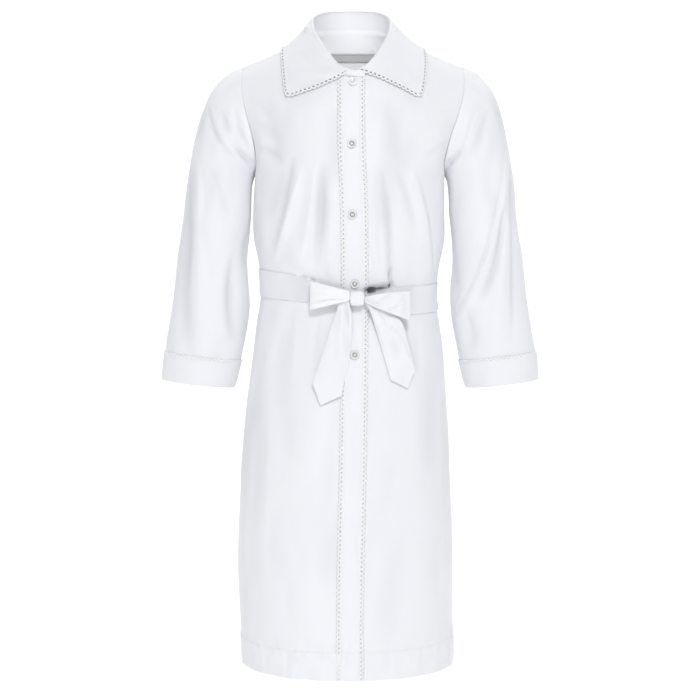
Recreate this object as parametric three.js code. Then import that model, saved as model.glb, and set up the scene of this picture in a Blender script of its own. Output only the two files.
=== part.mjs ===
// A white kittel: a long buttoned robe with a sash, filled out as if worn.
// Millimetres, +Z up. The front faces -Y and +X is on the viewer's right.
// The origin lies between the two shoulder points at the neck, where the wearer carries it.
import * as THREE from 'three';

// Cloth and seams
const CLOTH = 1.5;              // wall of the robe's cloth
const SEAM_GAP = 0.4;           // space between two pieces at a seam
const LACE = 1.0;               // wall of the lace trimming
const LACE_WIDTH = 6.8;
const FACING = 1.0;             // wall of the neck facing and its tape

// Heights
const CHEST_HEIGHT = -235;      // underarm level, where the armholes start
const HEM_HEIGHT = -1090;
const HEM_DEPTH = 48;           // turned-up hem
const HEM_TURN = 0.9;           // extra cloth under the hem's outer face

// Neck ring
const NECK_HALF_WIDTH = 79;
const NECK_HALF_DEPTH = 75;
const NECK_CENTRE_Y = -15;
const SHOULDER_SEAM_ANGLE = 95; // degrees round from the centre back

// Lengths over which a seam's gap is shared out, along the panels' rows and columns
const SHOULDER_TO_CHEST = 230;
const CENTRE_TO_SIDE = 250;

// Grid of the panels
const COLUMNS_PER_HALF = 15;    // from a centre line to an armhole or side seam
const NECK_SHARE = 0.4;         // part of the half panel's top edge that is neckline
const FRONT_UPPER_ROWS = 10;
const BACK_UPPER_ROWS = 12;
const MID_SHOULDER = 0.5;       // across value of the mid-shoulder line
const NECK_EASE = 0.35;         // how widely the neck corner is eased below the top line
const UPPER_FRONT_HEIGHT = 160; // chest line to neckline at the centre front

// Placket, buttons and sash
const PLACKET_WIDTH = 33;
const PLACKET_LAP = 3;          // how far the front edges lie in under the placket
const BUTTON_RADIUS = 7.7;
const BUTTON_THICKNESS = 3;
const BUTTON_GAP = 1.1;         // height of a button above the placket
const BUTTON_SHANK = { radius: 2.2, height: 0.8 };  // wound thread under a button
const SASH_WIDTH = 48;
const CUFF_HEIGHT = 47;

// Torso outline at each height: half width, sideways lean, depth in front and behind
const TORSO_SECTIONS = [
  { height: -1090, halfWidth: 188, lean: -4, front: 151, back: 141, square: 2.25 },
  { height: -1000, halfWidth: 189, lean: -7, front: 151, back: 141, square: 2.25 },
  { height: -890, halfWidth: 190, lean: -8, front: 148, back: 138, square: 2.25 },
  { height: -740, halfWidth: 184, lean: -8, front: 140, back: 133, square: 2.25 },
  { height: -640, halfWidth: 176.5, lean: -6, front: 131, back: 126, square: 2.2 },
  { height: -545, halfWidth: 167.5, lean: -3, front: 120, back: 114, square: 2.2 },
  { height: -495, halfWidth: 161, lean: -3.5, front: 112, back: 105, square: 2.2 },
  { height: -445, halfWidth: 154, lean: -3, front: 106, back: 98, square: 2.2 },
  { height: -395, halfWidth: 157.5, lean: -1.5, front: 109, back: 100, square: 2.2 },
  { height: -345, halfWidth: 166, lean: -1, front: 116, back: 105, square: 2.25 },
  { height: -300, halfWidth: 166.5, lean: -1.5, front: 120, back: 109, square: 2.3 },
  { height: -235, halfWidth: 165, lean: 0, front: 122, back: 112, square: 2.35 },
  { height: -145, halfWidth: 165, lean: 3.5, front: 122, back: 112, square: 2.35 },
  { height: -50, halfWidth: 165, lean: 5, front: 122, back: 112, square: 2.35 },
  { height: 20, halfWidth: 165, lean: 1, front: 122, back: 112, square: 2.35 },
  { height: 60, halfWidth: 165, lean: 0, front: 122, back: 112, square: 2.35 },
];

// Rows of the panels below the chest, closer together where the cloth is drawn in
const LOWER_HEIGHTS = [
  -270, -305, -340, -370, -395, -416, -437, -458, -480, -510, -541, -620, -740, -860, -970,
  HEM_HEIGHT + HEM_DEPTH + 1, HEM_HEIGHT + HEM_DEPTH - 1, HEM_HEIGHT,
];

// Edges of the upper panels, from the chest line up
const FRONT_CENTRE = [
  { up: 0, x: 0, y: -122, z: -235 },
  { up: 0.25, x: 0, y: -120.5, z: -196 },
  { up: 0.5, x: 0, y: -115.5, z: -156 },
  { up: 0.75, x: 0, y: -105, z: -115 },
  { up: 1, x: 0, y: -90, z: -75 },
];
const BACK_CENTRE = [
  { up: 0, x: 0, y: 112, z: -235 },
  { up: 0.3, x: 0, y: 110, z: -160 },
  { up: 0.55, x: 0, y: 101, z: -95 },
  { up: 0.8, x: 0, y: 82, z: -30 },
  { up: 1, x: 0, y: 60, z: 22 },
];
const FRONT_ARMHOLE = [
  { up: 0, x: 165, y: 0, z: -235 },
  { up: 0.12, x: 161.5, y: -25, z: -219 },
  { up: 0.3, x: 165, y: -45, z: -193 },
  { up: 0.48, x: 172, y: -54, z: -163 },
  { up: 0.66, x: 182, y: -52, z: -130 },
  { up: 0.82, x: 190, y: -40, z: -95 },
  { up: 0.92, x: 191.5, y: -30, z: -72 },
  { up: 1, x: 191, y: -14, z: -53 },
];
const BACK_ARMHOLE = [
  { up: 0, x: 165, y: 0, z: -235 },
  { up: 0.1, x: 162, y: 24, z: -221 },
  { up: 0.25, x: 167, y: 46, z: -190 },
  { up: 0.42, x: 175, y: 57, z: -148 },
  { up: 0.6, x: 183, y: 56, z: -105 },
  { up: 0.75, x: 189, y: 44, z: -73 },
  { up: 0.86, x: 192, y: 23, z: -53 },
  { up: 0.94, x: 192.5, y: 3, z: -47 },
  { up: 1, x: 191, y: -14, z: -53 },
];
// Lines through the middle of the shoulder, down the chest and down the shoulder blade
const FRONT_MID = [
  { up: 0, x: 103, y: -103, z: -235 },
  { up: 0.25, x: 104, y: -101, z: -190 },
  { up: 0.5, x: 103, y: -92, z: -142 },
  { up: 0.7, x: 101, y: -77, z: -101 },
  { up: 0.84, x: 99, y: -57, z: -64 },
  { up: 0.93, x: 97, y: -37, z: -35 },
  { up: 1, x: 95.7, y: -20, z: -15 },
];
const BACK_MID = [
  { up: 0, x: 100, y: 97, z: -235 },
  { up: 0.25, x: 101, y: 99, z: -180 },
  { up: 0.45, x: 101, y: 93, z: -132 },
  { up: 0.62, x: 100, y: 79, z: -88 },
  { up: 0.78, x: 99, y: 54, z: -44 },
  { up: 0.89, x: 97, y: 23, z: -15 },
  { up: 0.95, x: 96, y: 0, z: -8 },
  { up: 1, x: 95.7, y: -20, z: -15 },
];

// Neck seam round the neck, in degrees from the centre back: its height, the stand's height
// and inward lean above it, and how far the collar leaf bulges out below the roll line
const NECK_SEAM = [
  { angle: 0, height: 22, stand: 37, lean: 3, roll: 7 },
  { angle: 30, height: 19, stand: 37, lean: 6, roll: 6 },
  { angle: 60, height: 9, stand: 37, lean: 11, roll: 1 },
  { angle: 95, height: -8, stand: 36, lean: 12, roll: -4 },
  { angle: 120, height: -24, stand: 29, lean: 8, roll: 0 },
  { angle: 150, height: -54, stand: 19, lean: 3, roll: 3 },
  { angle: 180, height: -75, stand: 13, lean: 0, roll: 3 },
];

// Largest folds of the body: a line down the cloth, its half width and its lift or sink
const BODY_FOLDS = [
  { face: 'front', topX: -110, topZ: -215, endX: -140, endZ: -315, width: 13, lift: -4 },
  { face: 'front', topX: -80, topZ: -222, endX: -134, endZ: -392, width: 11, lift: 5 },
  { face: 'front', topX: -52, topZ: -215, endX: -55, endZ: -360, width: 18, lift: -3 },
  { face: 'front', topX: -96, topZ: -330, endX: -88, endZ: -418, width: 12, lift: 4 },
  { face: 'front', topX: 58, topZ: -215, endX: 66, endZ: -425, width: 14, lift: -4 },
  { face: 'front', topX: 106, topZ: -215, endX: 136, endZ: -405, width: 14, lift: 4 },
  { face: 'front', topX: 88, topZ: -340, endX: 96, endZ: -428, width: 11, lift: 3 },
  { face: 'front', topX: -105, topZ: -460, endX: -112, endZ: -720, width: 20, lift: -4 },
  { face: 'front', topX: -145, topZ: -470, endX: -160, endZ: -900, width: 22, lift: 4 },
  { face: 'front', topX: -60, topZ: -470, endX: -64, endZ: -760, width: 20, lift: 3 },
  { face: 'front', topX: 110, topZ: -475, endX: 122, endZ: -780, width: 22, lift: 3 },
  { face: 'front', topX: 138, topZ: -480, endX: 158, endZ: -860, width: 20, lift: -4 },
  { face: 'back', topX: -95, topZ: -210, endX: -70, endZ: -425, width: 16, lift: 5 },
  { face: 'back', topX: -50, topZ: -260, endX: -38, endZ: -425, width: 15, lift: -4 },
  { face: 'back', topX: 46, topZ: -240, endX: 32, endZ: -420, width: 16, lift: 4 },
  { face: 'back', topX: 105, topZ: -210, endX: 82, endZ: -425, width: 17, lift: 5 },
  { face: 'back', topX: 0, topZ: -460, endX: -8, endZ: -860, width: 24, lift: -4 },
  { face: 'back', topX: -84, topZ: -455, endX: -100, endZ: -900, width: 24, lift: 5 },
  { face: 'back', topX: 88, topZ: -455, endX: 108, endZ: -880, width: 22, lift: 5 },
  { face: 'back', topX: 134, topZ: -470, endX: 150, endZ: -800, width: 20, lift: -4 },
];

// Arm sections of a sleeve: the ring's centre, its half width and its half depth
const SLEEVE_SECTIONS = [
  { along: 0, x: 232, y: -2, z: -300, halfWidth: 59, halfDepth: 57 },
  { along: 0.24, x: 240, y: -3, z: -372, halfWidth: 60.5, halfDepth: 54 },
  { along: 0.48, x: 243, y: -4, z: -446, halfWidth: 67, halfDepth: 52 },
  { along: 0.65, x: 249, y: -5, z: -497, halfWidth: 68.5, halfDepth: 50 },
  { along: 0.82, x: 258.5, y: -6, z: -548, halfWidth: 67, halfDepth: 49 },
  { along: 1, x: 267.5, y: -6, z: -598, halfWidth: 63.5, halfDepth: 48 },
];
const SLEEVE_TILT = 6.5;        // degrees that the sleeve swings out from the body
const SLEEVE_CAP_ROWS = 8;
const SLEEVE_ARM_ROWS = 8;
const SLEEVE_START_ANGLE = 15;  // where the shoulder seam meets the sleeve's ring, in degrees
const ARM_RADIUS = 60;          // turns a fold's angle into a distance round the sleeve

// Largest folds of a sleeve: the angle round the arm, and the way down it
const SLEEVE_FOLDS = [
  { angle: 52, endAngle: 92, top: 0.25, end: 1.0, width: 13, lift: -4 },
  { angle: 100, endAngle: 62, top: 0.3, end: 1.25, width: 11, lift: -4 },
  { angle: 30, endAngle: 75, top: 0.75, end: 1.7, width: 12, lift: 4 },
  { angle: 120, endAngle: 140, top: 0.7, end: 1.6, width: 14, lift: 3 },
  { angle: 255, endAngle: 290, top: 0.3, end: 1.2, width: 15, lift: -4 },
  { angle: 300, endAngle: 275, top: 0.9, end: 1.8, width: 15, lift: 4 },
];

// Outer edge of the collar on the body: across the panel, and over the shoulder from
// the front (below zero) to the back (above zero)
const COLLAR_EDGE = [
  { share: 0, across: 0, over: 0.105 },
  { share: 0.16, across: 0.22, over: 0.115 },
  { share: 0.32, across: 0.43, over: 0.115 },
  { share: 0.48, across: 0.575, over: 0.075 },
  { share: 0.6, across: 0.612, over: 0.01 },
  { share: 0.7, across: 0.61, over: -0.05 },
  { share: 0.8, across: 0.588, over: -0.14 },
  { share: 0.92, across: 0.56, over: -0.235 },
  { share: 1, across: 0.53, over: -0.3 },
];
const COLLAR_STRETCH = { left: 0.98, right: 1.02 };
const COLLAR_COLUMNS = 32;
const COLLAR_ROWS = [0, 0.14, 0.32, 0.54, 0.77, 1];

// Sash: height of its centre line and width round the waist, in quarter turns from the centre
// front. The knot gathers it.
const SASH_LINE = [
  { turn: -2, height: -430, width: 48 },
  { turn: -1.3, height: -421.9, width: 48 },
  { turn: -1, height: -420.4, width: 48 },
  { turn: -0.629, height: -425.7, width: 46.5 },
  { turn: -0.457, height: -430.3, width: 44 },
  { turn: -0.36, height: -434.4, width: 39 },
  { turn: -0.18, height: -440.6, width: 31 },
  { turn: 0, height: -445.5, width: 26.5 },
  { turn: 0.114, height: -448, width: 22.5 },
  { turn: 0.18, height: -452.8, width: 19 },
  { turn: 0.257, height: -452.2, width: 23 },
  { turn: 0.33, height: -451.9, width: 31 },
  { turn: 0.405, height: -449.9, width: 41 },
  { turn: 0.5, height: -450.1, width: 47 },
  { turn: 0.6, height: -449.9, width: 48.5 },
  { turn: 0.9, height: -446.2, width: 48 },
  { turn: 1.3, height: -440.5, width: 48 },
  { turn: 2, height: -430, width: 48 },
];

// Placket centre line and the five buttons
const PLACKET_LINE = [
  { height: -1090, x: 0 },
  { height: -950, x: 0 },
  { height: -700, x: 5 },
  { height: -440, x: 8 },
  { height: -300, x: 7 },
  { height: -190, x: 2.5 },
  { height: -75, x: 2 },
];
const BUTTON_PLACES = [
  { x: 5, height: -83 },
  { x: 3, height: -188 },
  { x: 4, height: -305 },
  { x: 8, height: -421 },
  { x: 8, height: -541 },
];

const radians = (degrees) => degrees * Math.PI / 180;
const vector = (x, y, z) => new THREE.Vector3(x, y, z);
const mix = (a, b, share) => a + (b - a) * share;
const smooth = (share) => {
  const t = Math.min(Math.max(share, 0), 1);
  return t * t * (3 - 2 * t);
};

// Smooth value of a table's column at a place between its rows
function tableValue(rows, key, column, place) {
  const first = rows[0][key] < rows[rows.length - 1][key] ? rows : [...rows].reverse();
  const last = first.length - 1;
  const at = Math.min(Math.max(place, first[0][key]), first[last][key]);
  let i = 0;
  while (i < last - 1 && at > first[i + 1][key]) i += 1;
  const slope = (k) => {
    const low = Math.max(k - 1, 0);
    const high = Math.min(k + 1, last);
    return (first[high][column] - first[low][column]) / (first[high][key] - first[low][key]);
  };
  const span = first[i + 1][key] - first[i][key];
  const t = (at - first[i][key]) / span;
  const start = (1 + 2 * t) * (1 - t) * (1 - t);
  const startSlope = t * (1 - t) * (1 - t) * span;
  const endSlope = t * t * (t - 1) * span;
  return start * first[i][column] + (1 - start) * first[i + 1][column]
    + startSlope * slope(i) + endSlope * slope(i + 1);
}

const tablePoint = (rows, key, place) => vector(
  tableValue(rows, key, 'x', place),
  tableValue(rows, key, 'y', place),
  tableValue(rows, key, 'z', place),
);

// Body surface. A face is 'front' or 'back'. Across runs from -1 at the viewer's left side
// to 1 at the right. Level runs from -1 at the hem through 0 at the chest line to 1 at the
// neckline and shoulder seam.
const otherFace = (face) => (face === 'front' ? 'back' : 'front');
const levelOfHeight = (height) => (height - CHEST_HEIGHT) / (CHEST_HEIGHT - HEM_HEIGHT);

function ringPoint(face, across, height) {
  const angle = across * Math.PI / 2;
  const square = tableValue(TORSO_SECTIONS, 'height', 'square', height);
  const halfWidth = tableValue(TORSO_SECTIONS, 'height', 'halfWidth', height);
  const depth = tableValue(TORSO_SECTIONS, 'height', face, height);
  const wide = Math.abs(Math.sin(angle) / halfWidth) ** square;
  const deep = Math.abs(Math.cos(angle) / depth) ** square;
  const radius = (wide + deep) ** (-1 / square);
  const away = face === 'front' ? -1 : 1;
  return vector(radius * Math.sin(angle), away * radius * Math.cos(angle), height);
}

function neckPoint(angle) {
  return vector(
    NECK_HALF_WIDTH * Math.sin(radians(angle)),
    NECK_CENTRE_Y + NECK_HALF_DEPTH * Math.cos(radians(angle)),
    tableValue(NECK_SEAM, 'angle', 'height', Math.abs(angle)),
  );
}

function topLine(face, across) {
  const side = across < 0 ? -1 : 1;
  const share = Math.abs(across);
  const centreAngle = face === 'front' ? 180 : 0;
  const point = share < NECK_SHARE
    ? neckPoint(mix(centreAngle, SHOULDER_SEAM_ANGLE, share / NECK_SHARE))
    : neckPoint(SHOULDER_SEAM_ANGLE).lerp(
      tablePoint(FRONT_ARMHOLE, 'up', 1),
      (share - NECK_SHARE) / (1 - NECK_SHARE),
    );
  point.x *= side;
  return point;
}

// The top line with its corner at the neck rounded off, more so further down the panel
function easedTopLine(face, across, up) {
  const spread = Math.min(NECK_EASE * Math.sqrt(1 - up), 1 - Math.abs(across));
  const sum = vector(0, 0, 0);
  for (let shift = -4; shift <= 4; shift += 1) sum.add(topLine(face, across + shift / 4 * spread));
  return sum.divideScalar(9);
}

function upperPoint(face, across, up) {
  const side = across < 0 ? -1 : 1;
  const rise = smooth(up);
  const [centreRows, midRows, armholeRows] = face === 'front'
    ? [FRONT_CENTRE, FRONT_MID, FRONT_ARMHOLE]
    : [BACK_CENTRE, BACK_MID, BACK_ARMHOLE];
  const toMid = smooth(Math.abs(across) / MID_SHOULDER);
  const toArmhole = smooth((Math.abs(across) - MID_SHOULDER) / (1 - MID_SHOULDER));
  // How far an edge curve departs from the straight blend between its two ends
  const departure = (rows, mirror) => {
    const bend = tablePoint(rows, 'up', up)
      .addScaledVector(tablePoint(rows, 'up', 0), rise - 1)
      .addScaledVector(tablePoint(rows, 'up', 1), -rise);
    bend.x *= mirror;
    return bend;
  };
  return ringPoint(face, across, CHEST_HEIGHT).multiplyScalar(1 - rise)
    .addScaledVector(easedTopLine(face, across, up), rise)
    .addScaledVector(departure(centreRows, 1), 1 - toMid)
    .addScaledVector(departure(midRows, side), toMid - toArmhole)
    .addScaledVector(departure(armholeRows, side), toArmhole);
}

// Folds fade out at the armholes, the seams and under the sash
const FOLD_FADE = { atSide: 0.12, pastSash: 25, sashShare: 0.55 };

function foldLift(face, across, level, point) {
  let lift = 0;
  for (const fold of BODY_FOLDS) {
    if (fold.face !== face) continue;
    const lineX = fold.endX - fold.topX;
    const lineZ = fold.endZ - fold.topZ;
    const length = Math.hypot(lineX, lineZ);
    const along = ((point.x - fold.topX) * lineX + (point.z - fold.topZ) * lineZ) / length ** 2;
    if (along < 0 || along > 1) continue;
    const apart = ((point.x - fold.topX) * lineZ - (point.z - fold.topZ) * lineX) / length;
    lift += fold.lift * Math.sin(Math.PI * along) * Math.exp(-((apart / fold.width) ** 2));
  }
  const fromSash = Math.abs(point.z - sashHeight(face, across)) - SASH_WIDTH * FOLD_FADE.sashShare;
  const sideFade = smooth((1 - Math.abs(across)) / FOLD_FADE.atSide);
  const sashFade = smooth(fromSash / FOLD_FADE.pastSash);
  return lift * sideFade * sashFade;
}

function plainBody(face, across, level) {
  if (level > 1) return plainBody(otherFace(face), across, 2 - level);
  if (Math.abs(across) > 1 && level <= 0) {
    return plainBody(otherFace(face), Math.sign(across) * (2 - Math.abs(across)), level);
  }
  const within = Math.min(Math.max(across, -1), 1);
  const point = level > 0
    ? upperPoint(face, within, level)
    : ringPoint(face, within, CHEST_HEIGHT + level * (CHEST_HEIGHT - HEM_HEIGHT));
  point.x += tableValue(TORSO_SECTIONS, 'height', 'lean', point.z);
  return point;
}

function bodyNormal(face, across, level) {
  const step = 0.004;
  const onSeam = (value) => (Math.abs(Math.abs(value) - 1) < step ? Math.sign(value) : value);
  const a = onSeam(across);
  const b = onSeam(level);
  const sideways = plainBody(face, a + step, b).sub(plainBody(face, a - step, b));
  const upwards = plainBody(face, a, b + step).sub(plainBody(face, a, b - step));
  const normal = sideways.cross(upwards).normalize();
  return face === 'front' ? normal : normal.negate();
}

function onBody(face, across, level, lift = 0) {
  const point = plainBody(face, across, level);
  const normal = bodyNormal(face, across, level);
  const total = lift + foldLift(face, across, level, point);
  return { point: point.addScaledVector(normal, total), normal };
}

// Place on the front that is seen at a given x and height
function frontAt(x, height, lift = 0) {
  let across = x / FRONT_ARMHOLE[0].x;
  let level = levelOfHeight(height);
  if (level > 0) level = (height - CHEST_HEIGHT) / UPPER_FRONT_HEIGHT;
  for (let pass = 0; pass < 12; pass += 1) {
    const step = 0.002;
    const here = plainBody('front', across, level);
    const right = plainBody('front', across + step, level).sub(here).divideScalar(step);
    const above = plainBody('front', across, level + step).sub(here).divideScalar(step);
    const missX = x - here.x;
    const missZ = height - here.z;
    const area = right.x * above.z - right.z * above.x;
    across += (missX * above.z - missZ * above.x) / area;
    level += (right.x * missZ - right.z * missX) / area;
  }
  return onBody('front', across, level, lift);
}

function sashHeight(face, across) {
  const turn = face === 'front' ? across : Math.sign(across || 1) * (2 - Math.abs(across));
  return tableValue(SASH_LINE, 'turn', 'height', turn);
}

// Closed wall from a grid of places on its outer face. Each place has a point and the normal
// along which the inner face lies.
function wall(grid, thickness, closed = false) {
  const rows = grid.length;
  const columns = grid[0].length;
  const positions = [];
  for (const row of grid) {
    for (const place of row) positions.push(...place.point.toArray());
  }
  for (const row of grid) {
    for (const place of row) {
      const depth = place.depth ?? thickness;
      positions.push(...place.point.clone().addScaledVector(place.normal, -depth).toArray());
    }
  }
  const outer = (i, j) => i * columns + (j % columns);
  const inner = (i, j) => rows * columns + outer(i, j);
  const triangles = [];
  const quad = (a, b, c, d) => triangles.push(a, b, c, a, c, d);
  const lastColumn = closed ? columns : columns - 1;
  for (let i = 0; i < rows - 1; i += 1) {
    for (let j = 0; j < lastColumn; j += 1) {
      quad(outer(i, j), outer(i, j + 1), outer(i + 1, j + 1), outer(i + 1, j));
      quad(inner(i, j), inner(i + 1, j), inner(i + 1, j + 1), inner(i, j + 1));
    }
  }
  for (let j = 0; j < lastColumn; j += 1) {
    quad(outer(0, j + 1), outer(0, j), inner(0, j), inner(0, j + 1));
    quad(outer(rows - 1, j), outer(rows - 1, j + 1), inner(rows - 1, j + 1), inner(rows - 1, j));
  }
  if (!closed) {
    for (let i = 0; i < rows - 1; i += 1) {
      quad(outer(i, 0), outer(i + 1, 0), inner(i + 1, 0), inner(i, 0));
      quad(outer(i + 1, columns - 1), outer(i, columns - 1), inner(i, columns - 1),
        inner(i + 1, columns - 1));
    }
  }
  return facingOut(positions, triangles);
}

// Turns every face round when the volume comes out negative
function facingOut(positions, triangles) {
  const corner = (index) => vector(...positions.slice(index * 3, index * 3 + 3));
  let volume = 0;
  for (let i = 0; i < triangles.length; i += 3) {
    const [a, b, c] = triangles.slice(i, i + 3).map(corner);
    volume += a.dot(b.cross(c)) / 6;
  }
  if (volume < 0) triangles.reverse();
  const geometry = new THREE.BufferGeometry();
  geometry.setAttribute('position', new THREE.Float32BufferAttribute(positions, 3));
  geometry.setIndex(triangles);
  geometry.computeVertexNormals();
  return geometry;
}

const steps = (count, make) => Array.from({ length: count + 1 }, (_, i) => make(i / count, i));

// Normals worked out from the grid itself, for pieces that don't lie on the body
function gridPlaces(points, closed = false) {
  const rows = points.length;
  const columns = points[0].length;
  return points.map((row, i) => row.map((point, j) => {
    const before = closed ? (j - 1 + columns) % columns : Math.max(j - 1, 0);
    const after = closed ? (j + 1) % columns : Math.min(j + 1, columns - 1);
    const sideways = row[after].clone().sub(row[before]);
    const along = points[Math.min(i + 1, rows - 1)][j].clone().sub(points[Math.max(i - 1, 0)][j]);
    return { point, normal: sideways.cross(along).normalize() };
  }));
}

// Levels of a panel's rows, from the shoulder seam down to the hem
function panelLevels(upperRows) {
  const seamShare = SEAM_GAP / 2 / SHOULDER_TO_CHEST;
  const upper = steps(upperRows, (share) => Math.min(1 - share, 1 - seamShare));
  return [...upper, ...LOWER_HEIGHTS.map(levelOfHeight)];
}

function hemRaise(level) {
  return level < levelOfHeight(HEM_HEIGHT + HEM_DEPTH) ? HEM_TURN : 0;
}

function panelPlace(face, across, level) {
  const raise = hemRaise(level);
  return { ...onBody(face, across, level, raise), depth: CLOTH + raise };
}

// Across value of a line that runs down the front at a small x
function acrossOfLine(level, offset) {
  let low = -0.4;
  let high = 0.4;
  for (let pass = 0; pass < 30; pass += 1) {
    const middle = (low + high) / 2;
    const point = plainBody('front', middle, level);
    if (point.x < placketCentre(point.z) + offset) low = middle;
    else high = middle;
  }
  return (low + high) / 2;
}

const placketCentre = (height) => tableValue(PLACKET_LINE, 'height', 'x', height);

// Extra columns by the placket, where the neckline turns quickly
const NEAR_CENTRE = { left: [-0.1], right: [0, 0.033, 0.067, 0.1] };

function frontPanel(side) {
  const seamShare = SEAM_GAP / 2 / CENTRE_TO_SIDE;
  const edgeOffset = -PLACKET_WIDTH / 2 + PLACKET_LAP + side * SEAM_GAP / 2;
  const places = panelLevels(FRONT_UPPER_ROWS).map((level) => {
    const edge = acrossOfLine(level, edgeOffset);
    const acrosses = [edge, ...NEAR_CENTRE[side < 0 ? 'left' : 'right']];
    for (let column = 2; column <= COLUMNS_PER_HALF; column += 1) {
      const share = level > 0 ? 1 : 1 - seamShare;
      acrosses.push(side * Math.min(column / COLUMNS_PER_HALF, share));
    }
    return acrosses.map((across) => panelPlace('front', across, level));
  });
  return wall(places, CLOTH);
}

function backPanel() {
  const seamShare = SEAM_GAP / 2 / CENTRE_TO_SIDE;
  const places = panelLevels(BACK_UPPER_ROWS).map((level) => {
    const limit = level > 0 ? 1 : 1 - seamShare;
    return steps(2 * COLUMNS_PER_HALF, (share) => {
      const across = Math.min(Math.max(2 * share - 1, -limit), limit);
      return panelPlace('back', across, level);
    });
  });
  return wall(places, CLOTH);
}

// Sleeve. Around counts the armhole's points from the shoulder seam down the front and up
// the back. Along runs from 0 at the armhole through 1 on the upper arm to 2 at the hem.
const SLEEVE_COLUMNS = FRONT_UPPER_ROWS + BACK_UPPER_ROWS;

function armholePoint(side, column) {
  const inFront = column <= FRONT_UPPER_ROWS;
  const up = inFront
    ? 1 - column / FRONT_UPPER_ROWS
    : (column - FRONT_UPPER_ROWS) / BACK_UPPER_ROWS;
  return plainBody(inFront ? 'front' : 'back', side, up);
}

const sleeveAngle = (column) => radians(SLEEVE_START_ANGLE + 360 * column / SLEEVE_COLUMNS);

function armRingPoint(side, column, share) {
  const angle = sleeveAngle(column);
  const centre = tablePoint(SLEEVE_SECTIONS, 'along', share);
  const halfWidth = tableValue(SLEEVE_SECTIONS, 'along', 'halfWidth', share);
  const halfDepth = tableValue(SLEEVE_SECTIONS, 'along', 'halfDepth', share);
  const outward = Math.cos(angle) * halfWidth;
  return vector(
    side * (centre.x + outward * Math.cos(radians(SLEEVE_TILT))),
    centre.y - Math.sin(angle) * halfDepth,
    centre.z + outward * Math.sin(radians(SLEEVE_TILT)),
  );
}

// Direction and pull of the cloth where it leaves the armhole: outwards and down at the
// underarm and at the shoulder, and forwards or backwards in between
const CAP_PULL = {
  underarm: { out: 36, down: 34 },
  shoulder: { out: 235, down: 62 },
  forward: 22,
  blend: 0.8,
};
const CAP_EASE = 1.05;          // pull of the arm's ring on the cap

function capPull(side, column) {
  const angle = sleeveAngle(column);
  const top = (1 + Math.cos(angle)) / 2;
  const { underarm, shoulder, forward, blend } = CAP_PULL;
  const pull = vector(underarm.out, 0, -underarm.down)
    .lerp(vector(shoulder.out, 0, -shoulder.down), top ** blend);
  pull.y = -Math.sin(angle) * forward;
  pull.x *= side;
  return pull;
}

function plainSleeve(side, column, along) {
  if (along >= 1) return armRingPoint(side, column, along - 1);
  const start = armholePoint(side, column);
  const pull = capPull(side, column);
  start.addScaledVector(pull.clone().normalize(), SEAM_GAP);
  const end = armRingPoint(side, column, 0);
  const run = armRingPoint(side, column, 0.02).sub(end).divideScalar(0.02);
  const reach = start.distanceTo(end);
  run.setLength(reach * CAP_EASE);
  const t = along;
  return start.multiplyScalar((1 + 2 * t) * (1 - t) ** 2)
    .addScaledVector(end, t * t * (3 - 2 * t))
    .addScaledVector(pull, t * (1 - t) ** 2)
    .addScaledVector(run, t * t * (t - 1));
}

function sleeveFoldLift(side, column, along) {
  const angle = (SLEEVE_START_ANGLE + 360 * column / SLEEVE_COLUMNS) % 360;
  let lift = 0;
  for (const fold of SLEEVE_FOLDS) {
    const share = (along - fold.top) / (fold.end - fold.top);
    if (share < 0 || share > 1) continue;
    const lineAngle = mix(fold.angle, fold.endAngle, share);
    const apart = radians(angle - lineAngle) * ARM_RADIUS;
    lift += fold.lift * Math.sin(Math.PI * share) * Math.exp(-((apart / fold.width) ** 2));
  }
  return lift;
}

function onSleeve(side, column, along, lift = 0) {
  const step = 0.01;
  const lengthwise = plainSleeve(side, column, Math.min(along + step, 2))
    .sub(plainSleeve(side, column, Math.max(along - step, 0)));
  const next = (column + 1) % SLEEVE_COLUMNS;
  const previous = (column - 1 + SLEEVE_COLUMNS) % SLEEVE_COLUMNS;
  const roundwise = plainSleeve(side, next, along).sub(plainSleeve(side, previous, along));
  const normal = roundwise.cross(lengthwise).normalize().multiplyScalar(side);
  const point = plainSleeve(side, column, along);
  return { point: point.addScaledVector(normal, lift + sleeveFoldLift(side, column, along)), normal };
}

const sleeveRing = (side, along, lift) => (
  steps(SLEEVE_COLUMNS - 1, (_, column) => onSleeve(side, column, along, lift))
);

function sleeve(side) {
  const alongs = [
    ...steps(SLEEVE_CAP_ROWS, (share) => share),
    ...steps(SLEEVE_ARM_ROWS, (share) => 1 + share).slice(1),
  ];
  return wall(alongs.map((along) => sleeveRing(side, along, 0)), CLOTH, true);
}

// Along value at a distance up from the sleeve's hem
const sleeveLength = SLEEVE_SECTIONS[0].z - SLEEVE_SECTIONS[SLEEVE_SECTIONS.length - 1].z;
const aboveSleeveHem = (distance) => 2 - distance / sleeveLength;

function cuff(side) {
  const lift = SEAM_GAP + CLOTH;
  const alongs = steps(2, (share) => mix(aboveSleeveHem(CUFF_HEIGHT), 2, share));
  return wall(alongs.map((along) => sleeveRing(side, along, lift)), CLOTH, true);
}

function cuffLace(side) {
  const lift = SEAM_GAP + LACE;
  const low = aboveSleeveHem(CUFF_HEIGHT + SEAM_GAP);
  const high = aboveSleeveHem(CUFF_HEIGHT + LACE_WIDTH);
  return wall([high, low].map((along) => sleeveRing(side, along, lift)), LACE, true);
}

// Collar stand. It runs round the neck from its outer end in front of the placket to its
// inner end, which tucks behind the outer one.
const STAND_COLUMNS = 36;
const STAND_OUTER_END = -190;
const STAND_INNER_END = 176;
const STAND_OVERLAP = 2.9;
const STAND_OVERLAP_ANGLES = { from: 150, over: 22 };
const STAND_CLEARANCE = 1.4;    // extra space under the stand, where the neckline turns

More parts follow.
